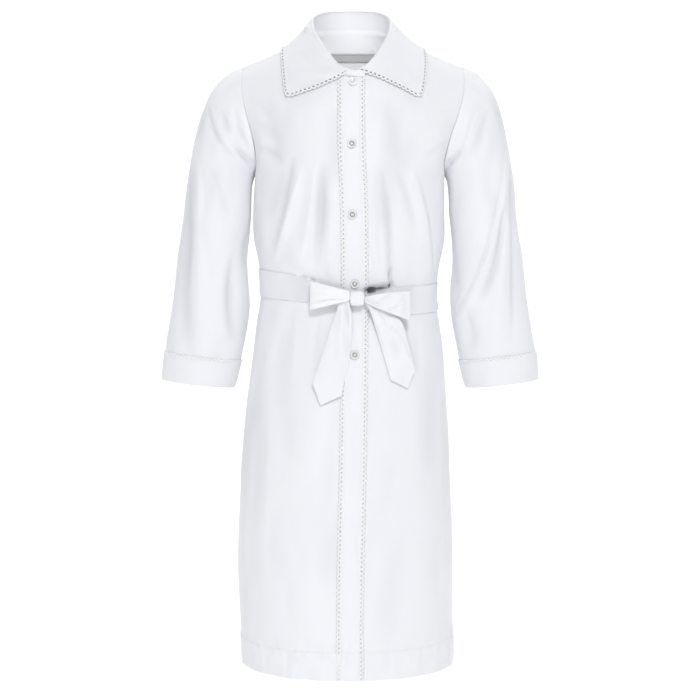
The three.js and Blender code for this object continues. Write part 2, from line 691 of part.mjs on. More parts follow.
function standPoint(angle, share, lift) {
  const turn = Math.min(Math.abs(angle), 180);
  const point = neckPoint(angle);
  point.x += tableValue(TORSO_SECTIONS, 'height', 'lean', point.z);
  const stand = tableValue(NECK_SEAM, 'angle', 'stand', turn);
  const inward = tableValue(NECK_SEAM, 'angle', 'lean', turn);
  const { from, over } = STAND_OVERLAP_ANGLES;
  const overlap = STAND_OVERLAP * smooth((-angle - from) / over);
  const outward = vector(Math.sin(radians(angle)), Math.cos(radians(angle)), 0);
  point.addScaledVector(outward, lift + overlap - inward * share);
  point.z += mix(SEAM_GAP + STAND_CLEARANCE, stand, share);
  return { point, normal: outward };
}

function collarStand() {
  const rows = [0, 0.5, 1].map((share) => steps(STAND_COLUMNS, (way) => (
    standPoint(mix(STAND_OUTER_END, STAND_INNER_END, way), share, CLOTH / 2)
  )));
  return wall(rows, CLOTH);
}

// Collar leaf. Round runs from -1 at the left front end to 1 at the right one. Fall runs
// from 0 at the roll line to 1 at the outer edge, which lies on the body.
const COLLAR_END_ANGLE = { left: -173, right: 170 };
const COLLAR_SAG = { left: 12, right: -3 };
const COLLAR_BULGE = { left: 0, right: -4 };
const COLLAR_TURN = 0.4;        // part of the way out at which the leaf's curve turns down
const COLLAR_LIFT = 2.6;
const COLLAR_LACE_LIFT = 3.2;
const COLLAR_LACE_DROP = 0.7;   // the lace leaves from under the leaf's edge

function onShoulder(across, over, lift) {
  const face = over < 0 ? 'front' : 'back';
  return onBody(face, across, 1 - Math.abs(over), lift);
}

// Place on the body nearest to a point above it, searched from a place close by. On the
// neckline's part of the panels the search keeps to the face that it starts on.
function nearestOnShoulder(point, startAcross, startOver) {
  const step = 0.003;
  const inFront = startOver < 0;
  let across = startAcross;
  let over = startOver;
  for (let pass = 0; pass < 8; pass += 1) {
    const here = onShoulder(across, over, 0).point;
    const sideways = onShoulder(across + step, over, 0).point.sub(here).divideScalar(step);
    const backwards = onShoulder(across, over + (inFront ? -step : step), 0).point.sub(here)
      .divideScalar(inFront ? -step : step);
    const miss = point.clone().sub(here);
    const ss = sideways.dot(sideways);
    const sb = sideways.dot(backwards);
    const bb = backwards.dot(backwards);
    const area = ss * bb - sb * sb;
    across += 0.8 * (miss.dot(sideways) * bb - miss.dot(backwards) * sb) / area;
    over += 0.8 * (miss.dot(backwards) * ss - miss.dot(sideways) * sb) / area;
    across = Math.min(Math.max(across, -0.98), 0.98);
    if (Math.abs(across) < NECK_SHARE + 0.05) {
      over = inFront ? Math.min(over, -0.004) : Math.max(over, 0.004);
    }
  }
  return onShoulder(across, over, 0);
}

// Lifts a point until it clears the body, rounding off softly
function clearOfBody(point, across, over, lift) {
  const { point: foot, normal } = nearestOnShoulder(point, across, over);
  const height = point.clone().sub(foot).dot(normal);
  const spare = height - lift;
  const raised = (Math.sqrt(spare * spare + 4) - spare) / 2;
  return point.addScaledVector(normal, raised);
}

function collarCoordinates(round, fall) {
  const share = Math.abs(round);
  const side = round < 0 ? -1 : 1;
  const name = side < 0 ? 'left' : 'right';
  const angle = share * COLLAR_END_ANGLE[name];
  const seamAcross = NECK_SHARE * (Math.abs(angle) > SHOULDER_SEAM_ANGLE
    ? (180 - Math.abs(angle)) / (180 - SHOULDER_SEAM_ANGLE)
    : Math.abs(angle) / SHOULDER_SEAM_ANGLE);
  const edgeAcross = tableValue(COLLAR_EDGE, 'share', 'across', share) * COLLAR_STRETCH[name];
  return {
    angle,
    across: side * mix(seamAcross, edgeAcross, fall),
    over: tableValue(COLLAR_EDGE, 'share', 'over', share) * fall,
    sag: COLLAR_SAG[name] * share ** 6,
    bulge: COLLAR_BULGE[name] + tableValue(NECK_SEAM, 'angle', 'roll', Math.abs(angle)),
  };
}

function collarPlace(round, fall) {
  const { angle, across, over, sag, bulge } = collarCoordinates(round, fall);
  const edge = collarCoordinates(round, 1);
  const roll = standPoint(angle, 1, CLOTH / 2 + SEAM_GAP + CLOTH);
  const foot = onShoulder(edge.across, edge.over, COLLAR_LIFT).point;
  const turn = roll.point.clone().lerp(foot, COLLAR_TURN).addScaledVector(roll.normal, bulge);
  turn.z -= sag;
  const point = roll.point.clone().multiplyScalar((1 - fall) ** 2)
    .addScaledVector(turn, 2 * fall * (1 - fall))
    .addScaledVector(foot, fall * fall);
  return fall <= COLLAR_ROWS[1] ? point : clearOfBody(point, across, over, COLLAR_LIFT);
}

function collar() {
  const points = COLLAR_ROWS.map((fall) => (
    steps(COLLAR_COLUMNS, (way) => collarPlace(2 * way - 1, fall))
  ));
  return wall(gridPlaces(points), -CLOTH);
}

// Places along the collar's free edge, from the left front end round to the right one. The
// lace turns each of the collar's points in three close steps.
function collarEdge() {
  const falls = [0.07, ...COLLAR_ROWS.slice(1, -1), 0.985];
  const rounds = steps(COLLAR_COLUMNS, (way) => mix(-1, 1, way)).slice(1, -1);
  return [
    ...falls.map((fall) => ({ round: -1, fall })),
    ...[-1, -0.993, ...rounds, 0.993, 1].map((round) => ({ round, fall: 1 })),
    ...[...falls].reverse().map((fall) => ({ round: 1, fall })),
  ];
}

// Direction out of the leaf: past its front end, past its outer edge, or between the two
function outOfCollar({ round, fall }) {
  const step = 0.02;
  const point = collarPlace(round, fall);
  const towardsEnd = point.clone().sub(collarPlace(round * (1 - step), fall)).normalize();
  const towardsEdge = point.clone().sub(collarPlace(round, fall - step)).normalize();
  const squareTo = (out, line) => out.addScaledVector(line, -out.dot(line)).normalize();
  const pastEnd = squareTo(towardsEnd.clone(), towardsEdge);
  const pastEdge = squareTo(towardsEdge.clone(), towardsEnd);
  if (fall < 1) return pastEnd;
  if (Math.abs(round) < 1) return pastEdge;
  return pastEnd.add(pastEdge).setLength(1.15);
}

// Point of the lace at a reach out from the collar's edge, kept clear of the body
function collarLacePoint(place, reach) {
  const point = collarPlace(place.round, place.fall).addScaledVector(outOfCollar(place), reach);
  const { across, over } = collarCoordinates(place.round, place.fall);
  return clearOfBody(point, across, over, COLLAR_LACE_LIFT);
}

function collarLace() {
  const edge = collarEdge();
  const strip = [SEAM_GAP, LACE_WIDTH].map((reach) => (
    edge.map((place) => collarLacePoint(place, reach))
  ));
  const places = gridPlaces(strip);
  for (const place of places.flat()) place.point.addScaledVector(place.normal, -COLLAR_LACE_DROP);
  return wall(places, LACE);
}

// Placket and its lace, laid on the front
const PLACKET_LIFT = SEAM_GAP;
const PLACKET_TOP = -77;
const STRIP_FIRST_ROW = 3;      // least drop from a strip's top edge to its next row

function stripDownFront(fromOffset, toOffset, columns, lift, thickness, top) {
  const panelHeights = panelLevels(FRONT_UPPER_ROWS)
    .map((level) => plainBody('front', 0, level).z)
    .filter((height) => height < top - STRIP_FIRST_ROW);
  const rows = [top, ...panelHeights].map((height) => {
    const raise = hemRaise(levelOfHeight(height));
    return steps(columns, (way) => frontAt(
      placketCentre(height) + mix(fromOffset, toOffset, way),
      height,
      lift + thickness + raise,
    ));
  });
  return wall(rows, thickness);
}

const placket = () => (
  stripDownFront(-PLACKET_WIDTH / 2, PLACKET_WIDTH / 2, 3, PLACKET_LIFT, CLOTH, PLACKET_TOP)
);

function placketLace(side) {
  const near = side * (PLACKET_WIDTH / 2 + SEAM_GAP);
  const far = side * (PLACKET_WIDTH / 2 + LACE_WIDTH);
  return stripDownFront(near, far, 1, PLACKET_LIFT, LACE, PLACKET_TOP - 3);
}

// Sash band round the waist. It rides higher where it crosses the placket.
const SASH_COLUMNS = 84;
const SASH_LIFT = 0.9;
const SASH_PLACKET_LIFT = 2.6;
const SASH_RISE = { centre: 0.03, reach: 0.16, slope: 0.1 };

function sashPlace(turn, share, extra = 0) {
  const face = Math.abs(turn) <= 1 ? 'front' : 'back';
  const across = face === 'front' ? turn : Math.sign(turn) * (2 - Math.abs(turn));
  const width = tableValue(SASH_LINE, 'turn', 'width', turn);
  const height = tableValue(SASH_LINE, 'turn', 'height', turn) + width * (0.5 - share);
  const fromPlacket = Math.abs(turn - SASH_RISE.centre) - SASH_RISE.reach;
  const overPlacket = smooth(1 - fromPlacket / SASH_RISE.slope);
  const lift = mix(SASH_LIFT, SASH_PLACKET_LIFT, overPlacket) + CLOTH + extra;
  return onBody(face, across, levelOfHeight(height), lift);
}

function sashBand() {
  const rows = [0, 0.5, 1].map((share) => steps(SASH_COLUMNS - 1, (_, column) => (
    sashPlace(mix(-2, 2, column / SASH_COLUMNS), share)
  )));
  return wall(rows, CLOTH, true);
}

// Bow: a knot, two loops and two tails, hung on the front of the sash
const KNOT = {
  x: 12,
  y: -122.1,
  z: -445.2,
  width: 24,
  height: 27,
  depth: 17,
  corner: 3.5,
  inset: 2,
  crown: 1.5,
  bevel: 3,
};
const LOOPS = {
  left: { endX: -66, endZ: -440.4, startZ: -441.2, endHalf: 24.3, startHalf: 7.5, spread: 1 },
  right: { endX: 102, endZ: -458.4, startZ: -448.1, endHalf: 25, startHalf: 2.5, spread: 0.72 },
};
const LOOP_THICK = 15;
const LOOP_STEPS = 14;
const LOOP_TURN = { from: 0.12, to: 0.88 };   // share of a full turn that a loop makes
const LOOP_SET_BACK = { atKnot: 1, atEnd: 5 };
const LOOP_DROOP = 1.3;         // how late a loop's middle line sinks

// A loop leaves the knot, turns over at its end and comes back in front of itself
function bowLoop(side) {
  const loop = side < 0 ? LOOPS.left : LOOPS.right;
  const startX = KNOT.x + side * (KNOT.width / 2 + SEAM_GAP);
  const points = steps(3, (share) => steps(LOOP_STEPS, (way) => {
    const angle = mix(LOOP_TURN.from, LOOP_TURN.to, way) * 2 * Math.PI;
    const reach = (1 - Math.cos(angle)) / 2;
    const start = (1 - Math.cos(LOOP_TURN.from * 2 * Math.PI)) / 2;
    const out = (reach - start) / (1 - start);
    const x = mix(startX, loop.endX, out);
    const half = mix(loop.startHalf, loop.endHalf, Math.max(out, 0) ** loop.spread);
    const middle = mix(loop.startZ, loop.endZ, Math.max(out, 0) ** LOOP_DROOP);
    const z = middle + half * (1 - 2 * share);
    const setBack = LOOP_SET_BACK.atKnot + LOOP_SET_BACK.atEnd * out * out;
    const y = KNOT.y + setBack + Math.sin(angle) * LOOP_THICK / 2;
    return vector(x, y, z);
  }));
  return wall(gridPlaces(points), CLOTH);
}

// Both edges of a tail from the knot down, where its tip lies across it, and how far that hangs
const TAILS = {
  left: {
    tip: -0.47,
    drop: 32,
    leftEdge: [
      { down: 0, x: -17.5, y: -122, z: -446.5 },
      { down: 0.1, x: -21.5, y: -121, z: -462.4 },
      { down: 0.25, x: -27.9, y: -120, z: -481.8 },
      { down: 0.45, x: -37.9, y: -122, z: -511.9 },
      { down: 0.65, x: -49.4, y: -126, z: -547 },
      { down: 0.85, x: -58.5, y: -131, z: -574.4 },
      { down: 1, x: -62.6, y: -134, z: -586.8 },
    ],
    rightEdge: [
      { down: 0, x: -0.9, y: -122, z: -448 },
      { down: 0.071, x: 0, y: -121.4, z: -459 },
      { down: 0.15, x: 3.2, y: -120.6, z: -470 },
      { down: 0.25, x: 3.4, y: -120, z: -485.1 },
      { down: 0.45, x: 2.7, y: -122, z: -518.7 },
      { down: 0.65, x: -2.5, y: -126, z: -555.4 },
      { down: 0.85, x: -10.4, y: -131, z: -588.7 },
      { down: 1, x: -13.7, y: -134, z: -608.3 },
    ],
  },
  right: {
    tip: 0.37,
    drop: 25,
    leftEdge: [
      { down: 0, x: 24.7, y: -122, z: -454 },
      { down: 0.08, x: 30.2, y: -120.5, z: -460.7 },
      { down: 0.2, x: 36.1, y: -117.5, z: -473.5 },
      { down: 0.35, x: 42, y: -115.5, z: -493.3 },
      { down: 0.55, x: 51.3, y: -117, z: -524 },
      { down: 0.8, x: 61.3, y: -119.5, z: -557.6 },
      { down: 1, x: 68.8, y: -122, z: -582.8 },
    ],
    rightEdge: [
      { down: 0, x: 25.6, y: -122, z: -447.2 },
      { down: 0.08, x: 43.6, y: -120, z: -453.2 },
      { down: 0.2, x: 65.5, y: -118, z: -467.5 },
      { down: 0.35, x: 87.1, y: -117, z: -485.3 },
      { down: 0.55, x: 97, y: -112, z: -517.6 },
      { down: 0.8, x: 106.2, y: -110.5, z: -549 },
      { down: 1, x: 110.8, y: -112, z: -567.2 },
    ],
  },
};
const TAIL_CROWN = 4;           // how far a tail's middle stands forward of its edges

function bowTail(side) {
  const tail = side < 0 ? TAILS.left : TAILS.right;
  const points = steps(14, (down) => steps(6, (way) => {
    const cross = 2 * way - 1;
    const place = tablePoint(tail.leftEdge, 'down', down)
      .lerp(tablePoint(tail.rightEdge, 'down', down), way);
    const fromLeft = (1 + cross) / (1 + tail.tip);
    const fromRight = (1 - cross) / (1 - tail.tip);
    place.y -= TAIL_CROWN * (1 - cross * cross) * 4 * down * (1 - down);
    place.z -= Math.min(fromLeft, fromRight) * tail.drop * smooth(down * 4 - 3);
    return place;
  }));
  return wall(gridPlaces(points), CLOTH);
}

function bowKnot() {
  const shape = new THREE.Shape();
  const halfWidth = KNOT.width / 2;
  const halfDepth = KNOT.depth / 2;
  const flat = halfDepth - KNOT.corner;
  const shoulder = halfWidth - KNOT.inset;
  shape.moveTo(-halfWidth, -flat);
  shape.quadraticCurveTo(-shoulder, -halfDepth, 0, -halfDepth - KNOT.crown);
  shape.quadraticCurveTo(shoulder, -halfDepth, halfWidth, -flat);
  shape.lineTo(halfWidth, flat);
  shape.quadraticCurveTo(shoulder, halfDepth, 0, halfDepth);
  shape.quadraticCurveTo(-shoulder, halfDepth, -halfWidth, flat);
  const geometry = new THREE.ExtrudeGeometry(shape, {
    depth: KNOT.height - 2 * KNOT.bevel,
    bevelEnabled: true,
    bevelThickness: KNOT.bevel,
    bevelSize: KNOT.bevel,
    bevelOffset: -KNOT.bevel,
    bevelSegments: 2,
    curveSegments: 4,
  });
  geometry.translate(0, 0, KNOT.bevel - KNOT.height / 2);
  return geometry;
}

// Neck facing inside the back, and the tape along its lower edge
const FACING_TOP_LEVEL = 0.994;
const FACING_BOTTOM = -16;
const TAPE_BOTTOM = -29;
const FACING_GAP = 1.4;
const FACING_COLUMNS = 10;
const TAPE_COLUMNS = 6;

function backLevelAtHeight(across, height) {
  let low = 0.5;
  let high = 1;
  for (let pass = 0; pass < 30; pass += 1) {
    const middle = (low + high) / 2;
    if (plainBody('back', across, middle).z < height) low = middle;
    else high = middle;
  }
  return (low + high) / 2;
}

// Wall inside the back, between two lines and along one of the back's own rows
function insideBack(columns, topOf, row, bottomOf) {
  const halfSpan = columns / 2 / COLUMNS_PER_HALF;
  const rowLevel = () => 1 - row / BACK_UPPER_ROWS;
  const rows = [topOf, rowLevel, bottomOf].map((levelOf) => steps(columns, (way) => {
    const across = mix(-halfSpan, halfSpan, way);
    return onBody('back', across, levelOf(across), -CLOTH - FACING_GAP);
  }));
  return wall(rows, FACING);
}

const neckFacing = () => insideBack(
  FACING_COLUMNS,
  () => FACING_TOP_LEVEL,
  1,
  (across) => backLevelAtHeight(across, FACING_BOTTOM),
);

const neckTape = () => insideBack(
  TAPE_COLUMNS,
  (across) => backLevelAtHeight(across, FACING_BOTTOM - SEAM_GAP - 0.2),
  2,
  (across) => backLevelAtHeight(across, TAPE_BOTTOM),
);

// Button with a raised rim, a dished middle and its thread shank
function buttonGeometry() {
  const profile = [
    [0, -BUTTON_SHANK.height],
    [BUTTON_SHANK.radius, -BUTTON_SHANK.height],
    [BUTTON_SHANK.radius, 0],
    [BUTTON_RADIUS - 1.4, 0],
    [BUTTON_RADIUS, 1.2],
    [BUTTON_RADIUS - 0.3, BUTTON_THICKNESS - 0.5],
    [BUTTON_RADIUS - 1.3, BUTTON_THICKNESS],
    [BUTTON_RADIUS - 2.6, BUTTON_THICKNESS - 0.6],
    [0, BUTTON_THICKNESS - 0.9],
  ].map(([radius, height]) => new THREE.Vector2(radius, height));
  return new THREE.LatheGeometry(profile, 16);
}

const surface = (color, roughness) => (
  new THREE.MeshStandardMaterial({ color, roughness, metalness: 0 })
);
const whiteCloth = () => surface(0xf3f4f9, 0.62);
const whiteLace = () => surface(0xf6f6f8, 0.8);
const greyTape = () => surface(0xa9a9a8, 0.7);
const pearl = () => surface(0xe6e5e2, 0.25);

const kittel = new THREE.Group();

function add(name, geometry, material) {
  const mesh = new THREE.Mesh(geometry, material);
  mesh.name = name;
  kittel.add(mesh);
  return mesh;
}

add('front_left', frontPanel(-1), whiteCloth());
add('front_right', frontPanel(1), whiteCloth());
add('back', backPanel(), whiteCloth());
for (const [name, side] of [['left', -1], ['right', 1]]) {
  add(`sleeve_${name}`, sleeve(side), whiteCloth());
  add(`cuff_${name}`, cuff(side), whiteCloth());
  add(`cuff_lace_${name}`, cuffLace(side), whiteLace());
  add(`placket_lace_${name}`, placketLace(side), whiteLace());
  add(`bow_loop_${name}`, bowLoop(side), whiteCloth());
  add(`bow_tail_${name}`, bowTail(side), whiteCloth());
}
add('collar_stand', collarStand(), whiteCloth());
add('collar', collar(), whiteCloth());
add('collar_lace', collarLace(), whiteLace());
add('placket', placket(), whiteCloth());
add('sash_band', sashBand(), whiteCloth());
add('bow_knot', bowKnot(), whiteCloth()).position.set(KNOT.x, KNOT.y, KNOT.z);
add('neck_facing', neckFacing(), whiteCloth());
add('neck_tape', neckTape(), greyTape());

BUTTON_PLACES.forEach(({ x, height }, index) => {
  const { point, normal } = frontAt(x, height, PLACKET_LIFT + CLOTH + BUTTON_GAP);
  const button = add(`button_${index + 1}`, buttonGeometry(), pearl());
  button.position.copy(point);
  button.quaternion.setFromUnitVectors(vector(0, 1, 0), normal);
});

export default kittel;
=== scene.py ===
import math

import bmesh
import bpy
import numpy as np
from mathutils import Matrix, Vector


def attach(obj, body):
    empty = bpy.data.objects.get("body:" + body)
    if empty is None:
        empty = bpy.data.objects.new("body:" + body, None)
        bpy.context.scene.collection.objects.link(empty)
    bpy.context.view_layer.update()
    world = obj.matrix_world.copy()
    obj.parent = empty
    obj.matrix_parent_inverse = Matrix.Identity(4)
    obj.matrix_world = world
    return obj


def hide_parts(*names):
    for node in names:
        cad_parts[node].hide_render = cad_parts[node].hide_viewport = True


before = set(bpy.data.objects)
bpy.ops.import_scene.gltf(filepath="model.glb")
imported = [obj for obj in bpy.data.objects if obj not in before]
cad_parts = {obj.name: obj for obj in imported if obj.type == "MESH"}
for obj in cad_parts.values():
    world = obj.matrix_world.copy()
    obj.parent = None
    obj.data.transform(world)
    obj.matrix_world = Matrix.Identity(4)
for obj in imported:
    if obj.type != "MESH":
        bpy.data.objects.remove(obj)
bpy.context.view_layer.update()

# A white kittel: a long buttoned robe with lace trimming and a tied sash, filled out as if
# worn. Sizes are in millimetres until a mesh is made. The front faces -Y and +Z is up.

# Cloth and seams
CLOTH = 1.5                     # wall of the robe's cloth
SEAM_GAP = 0.4                  # space between two pieces at a seam
SLEEVE_START = 0.1              # space between a sleeve and its armhole
SEAM_DIP = 0.7                  # how far the cloth sinks at a seam
SEAM_DIP_WIDTH = 1.8
FACING = 1.0                    # wall of the facing and the tape

# Heights
CHEST_HEIGHT = -235
WAIST_HEIGHT = -440
HEM_HEIGHT = -1090
HEM_DEPTH = 48
HEM_LINE = HEM_HEIGHT + HEM_DEPTH
HEM_TURN = 1.3                  # how much thicker the turned-up hem is

# Neck ring
NECK_HALF_WIDTH = 79
NECK_HALF_DEPTH = 75
NECK_CENTRE_Y = -15
SHOULDER_SEAM_ANGLE = 95

# Panels
NECK_SHARE = 0.4                # part of the half panel's top edge that is neckline
MID_SHOULDER = 0.5
NECK_EASE = 0.35
CHEST_HALF_WIDTH = 165
UPPER_FRONT_HEIGHT = 160
SHOULDER_TO_CHEST = 230
CENTRE_TO_SIDE = 250

# Placket, sash and cuffs
PLACKET_WIDTH = 33
PLACKET_LAP = 3
PLACKET_TOP = -77
SASH_WIDTH = 48
CUFF_HEIGHT = 47

# Lace
PLACKET_LACE_WIDTH = 7.6
COLLAR_LACE_WIDTH = 6.8
CUFF_LACE_WIDTH = 6.8
LACE_PERIOD = 7.6
LACE_THICKNESS = 0.9
# Depth of the notches, place of the hole and its size, as shares of the lace's width and period
WIDE_CELL = (0.52, 0.38, (0.25, 0.20))
FINE_CELL = (0.42, 0.31, (0.16, 0.13))
CUFF_CELL = (0.36, 0.32, (0.12, 0.10))
LACE_TUCK = 0.4                 # part of the lace under the edge that it is sewn to


class Table:
    """Rows of numbers under named columns, read smoothly between the rows."""

    def __init__(self, columns, rows):
        data = np.array(sorted(rows), float)
        self.places = data[:, 0]
        self.columns = dict(zip(columns, data.T))

    def value(self, column, place):
        places = self.places
        values = self.columns[column]
        last = len(places) - 1
        at = np.clip(place, places[0], places[last])
        i = np.clip(np.searchsorted(places, at, side="right") - 1, 0, last - 1)
        low = np.maximum(np.arange(last + 1) - 1, 0)
        high = np.minimum(np.arange(last + 1) + 1, last)
        slopes = (values[high] - values[low]) / (places[high] - places[low])
        span = places[i + 1] - places[i]
        t = (at - places[i]) / span
        start = (1 + 2 * t) * (1 - t) ** 2
        return (
            start * values[i]
            + (1 - start) * values[i + 1]
            + t * (1 - t) ** 2 * span * slopes[i]
            + t * t * (t - 1) * span * slopes[i + 1]
        )

    def point(self, place):
        return vectors(*(self.value(axis, place) for axis in "xyz"))


def vectors(x, y, z):
    return np.stack(np.broadcast_arrays(x, y, z), axis=-1).astype(float)


def mix(a, b, share):
    return a + (b - a) * share


def clamp(share):
    return np.clip(share, 0, 1)


def smooth(share):
    t = clamp(share)
    return t * t * (3 - 2 * t)


def way_of(value):
    """-1 below zero and 1 elsewhere."""
    return np.where(value < 0, -1, 1)


def floats(*values):
    return np.broadcast_arrays(*(np.asarray(value, float) for value in values))


def full_turn(count):
    return np.linspace(0, 2 * math.pi, count, endpoint=False)


def bell(away, width):
    return np.exp(-((away / width) ** 2))


def unit(vector):
    return vector / np.maximum(np.linalg.norm(vector, axis=-1, keepdims=True), 1e-12)


def dot(a, b):
    return (a * b).sum(axis=-1)


def path_lengths(points):
    return np.concatenate([[0], np.cumsum(np.linalg.norm(np.diff(points, axis=0), axis=1))])


def by_line(point_x, point_z, top_x, top_z, end_x, end_z):
    """Share of the way along a line on the cloth, and distance from it."""
    line_x, line_z = end_x - top_x, end_z - top_z
    length = math.hypot(line_x, line_z)
    from_x, from_z = point_x - top_x, point_z - top_z
    along = (from_x * line_x + from_z * line_z) / length ** 2
    return along, (from_x * line_z - from_z * line_x) / length


def sided(stem, side):
    return stem + ("_left" if side < 0 else "_right")


# Torso outline at each height
TORSO = Table(
    ("height", "half_width", "lean", "front", "back", "square"),
    [
        (-1090, 188, -4, 151, 141, 2.25), (-1000, 189, -7, 151, 141, 2.25),
        (-890, 190, -8, 148, 138, 2.25), (-740, 184, -8, 140, 133, 2.25),
        (-640, 176.5, -6, 131, 126, 2.2), (-545, 167.5, -3, 120, 114, 2.2),
        (-495, 161, -3.5, 112, 105, 2.2), (-445, 154, -3, 106, 98, 2.2),
        (-395, 157.5, -1.5, 109, 100, 2.2), (-345, 166, -1, 116, 105, 2.25),
        (-300, 166.5, -1.5, 120, 109, 2.3), (-235, 165, 0, 122, 112, 2.35),
        (-145, 165, 3.5, 122, 112, 2.35), (-50, 165, 5, 122, 112, 2.35),
        (20, 165, 1, 122, 112, 2.35), (60, 165, 0, 122, 112, 2.35),
    ],
)

# Edges of the upper panels and lines through the middle of the shoulder, from the chest up
UP = ("up", "x", "y", "z")
FRONT_LINES = {
    "centre": Table(UP, [
        (0, 0, -122, -235), (0.25, 0, -120.5, -196), (0.5, 0, -115.5, -156), (0.75, 0, -105, -115),
        (1, 0, -90, -75),
    ]),
    "middle": Table(UP, [
        (0, 103, -103, -235), (0.25, 104, -101, -190), (0.5, 103, -92, -142),
        (0.7, 101, -77, -101), (0.84, 99, -57, -64), (0.93, 97, -37, -35), (1, 95.7, -20, -15),
    ]),
    "armhole": Table(UP, [
        (0, 165, 0, -235), (0.12, 161.5, -25, -219), (0.3, 165, -45, -193), (0.48, 172, -54, -163),
        (0.66, 182, -52, -130), (0.82, 190, -40, -95), (0.92, 191.5, -30, -72), (1, 191, -14, -53),
    ]),
}
BACK_LINES = {
    "centre": Table(UP, [
        (0, 0, 112, -235), (0.3, 0, 110, -160), (0.55, 0, 101, -95), (0.8, 0, 82, -30),
        (1, 0, 60, 22),
    ]),
    "middle": Table(UP, [
        (0, 100, 97, -235), (0.25, 101, 99, -180), (0.45, 101, 93, -132), (0.62, 100, 79, -88),
        (0.78, 99, 54, -44), (0.89, 97, 23, -15), (0.95, 96, 0, -8), (1, 95.7, -20, -15),
    ]),
    "armhole": Table(UP, [
        (0, 165, 0, -235), (0.1, 162, 24, -221), (0.25, 167, 46, -190), (0.42, 175, 57, -148),
        (0.6, 183, 56, -105), (0.75, 189, 44, -73), (0.86, 192, 23, -53), (0.94, 192.5, 3, -47),
        (1, 191, -14, -53),
    ]),
}

# Neck seam, in degrees from the centre back
NECK_SEAM = Table(
    ("angle", "height", "stand", "lean", "roll"),
    [
        (0, 22, 37, 3, 7), (30, 19, 37, 6, 6), (60, 9, 37, 11, 1), (95, -8, 36, 12, -4),
        (120, -24, 29, 8, 0), (150, -54, 18.5, 3, 3), (165, -67.5, 12, 1, 3),
        (180, -75, 12.5, 0, 3),
    ],
)

SASH_LINE = Table(("turn", "height", "width"), [
    (-2, -430, 48), (-1.3, -421.9, 48), (-1, -420.4, 48), (-0.629, -425.7, 46.5),
    (-0.457, -430.3, 44), (-0.36, -434.4, 39), (-0.18, -440.6, 31), (0, -445.5, 26.5),
    (0.114, -448, 22.5), (0.18, -452.8, 19), (0.257, -452.2, 23), (0.33, -451.9, 31),
    (0.405, -449.9, 41), (0.5, -450.1, 47), (0.6, -449.9, 48.5), (0.9, -446.2, 48),
    (1.3, -440.5, 48), (2, -430, 48),
])

PLACKET_LINE = Table(
    ("height", "x"),
    [
        (-1090, 0), (-950, 0), (-700, 5), (-440, 8), (-300, 7), (-190, 2.5), (-75, 2),
    ],
)

# Large folds of the front (True) and the back (False), in the form of the creases below
LARGE_FOLDS = {
    True: [
        (-110, -215, -140, -315, 0, 13, 0, 2, -4), (-80, -222, -134, -392, 0, 11, 0, 2, 5),
        (-52, -215, -55, -360, 0, 18, 0, 2, -3), (-96, -330, -88, -418, 0, 12, 0, 2, 4),
        (58, -215, 66, -425, 0, 14, 0, 2, -4), (106, -215, 136, -405, 0, 14, 0, 2, 4),
        (88, -340, 96, -428, 0, 11, 0, 2, 3), (-105, -460, -112, -720, 0, 20, 0, 2, -4),
        (-145, -470, -160, -900, 0, 22, 0, 2, 4), (-60, -470, -64, -760, 0, 20, 0, 2, 3),
        (110, -475, 122, -780, 0, 22, 0, 2, 3), (138, -480, 158, -860, 0, 20, 0, 2, -4),
    ],
    False: [
        (-95, -210, -70, -425, 0, 16, 0, 2, 5), (-50, -260, -38, -425, 0, 15, 0, 2, -4),
        (46, -240, 32, -420, 0, 16, 0, 2, 4), (105, -210, 82, -425, 0, 17, 0, 2, 5),
        (0, -460, -8, -860, 0, 24, 0, 2, -4), (-84, -455, -100, -900, 0, 24, 0, 2, 5),
        (88, -455, 108, -880, 0, 22, 0, 2, 5), (134, -470, 150, -800, 0, 20, 0, 2, -4),
    ],
}

# Sleeve sections along the arm
ARM = Table(
    ("along", "x", "y", "z", "half_width", "half_depth"),
    [
        (0, 232, -2, -300, 59, 57), (0.24, 240, -3, -372, 60.5, 54), (0.48, 243, -4, -446, 67, 52),
        (0.65, 249, -5, -497, 68.5, 50), (0.82, 258.5, -6, -548, 67, 49),
        (1, 267.5, -6, -598, 63.5, 48),
    ],
)
SLEEVE_TILT = 6.5
FRONT_COLUMNS = 10
BACK_COLUMNS = 12
SLEEVE_COLUMNS = FRONT_COLUMNS + BACK_COLUMNS
SLEEVE_START_ANGLE = 15
ARM_RADIUS = 60
ARM_CENTRE_Y = -4
CAP_PULL = {"underarm": (36, 0, -34), "shoulder": (235, 0, -62), "forward": 22, "blend": 0.8}
CAP_EASE = 1.05
SLEEVE_LENGTH = 298             # from the upper arm to the hem
CAP_LENGTH = 190                # from the armhole to the upper arm

# Folds of a sleeve: the angle round the arm at each end, the way down it, width and lift
SLEEVE_FOLDS = [
    (52, 92, 0.25, 1, 13, -4), (100, 62, 0.3, 1.25, 11, -4), (30, 75, 0.75, 1.7, 12, 4),
    (120, 140, 0.7, 1.6, 14, 3), (255, 290, 0.3, 1.2, 15, -4), (300, 275, 0.9, 1.8, 15, 4),
]

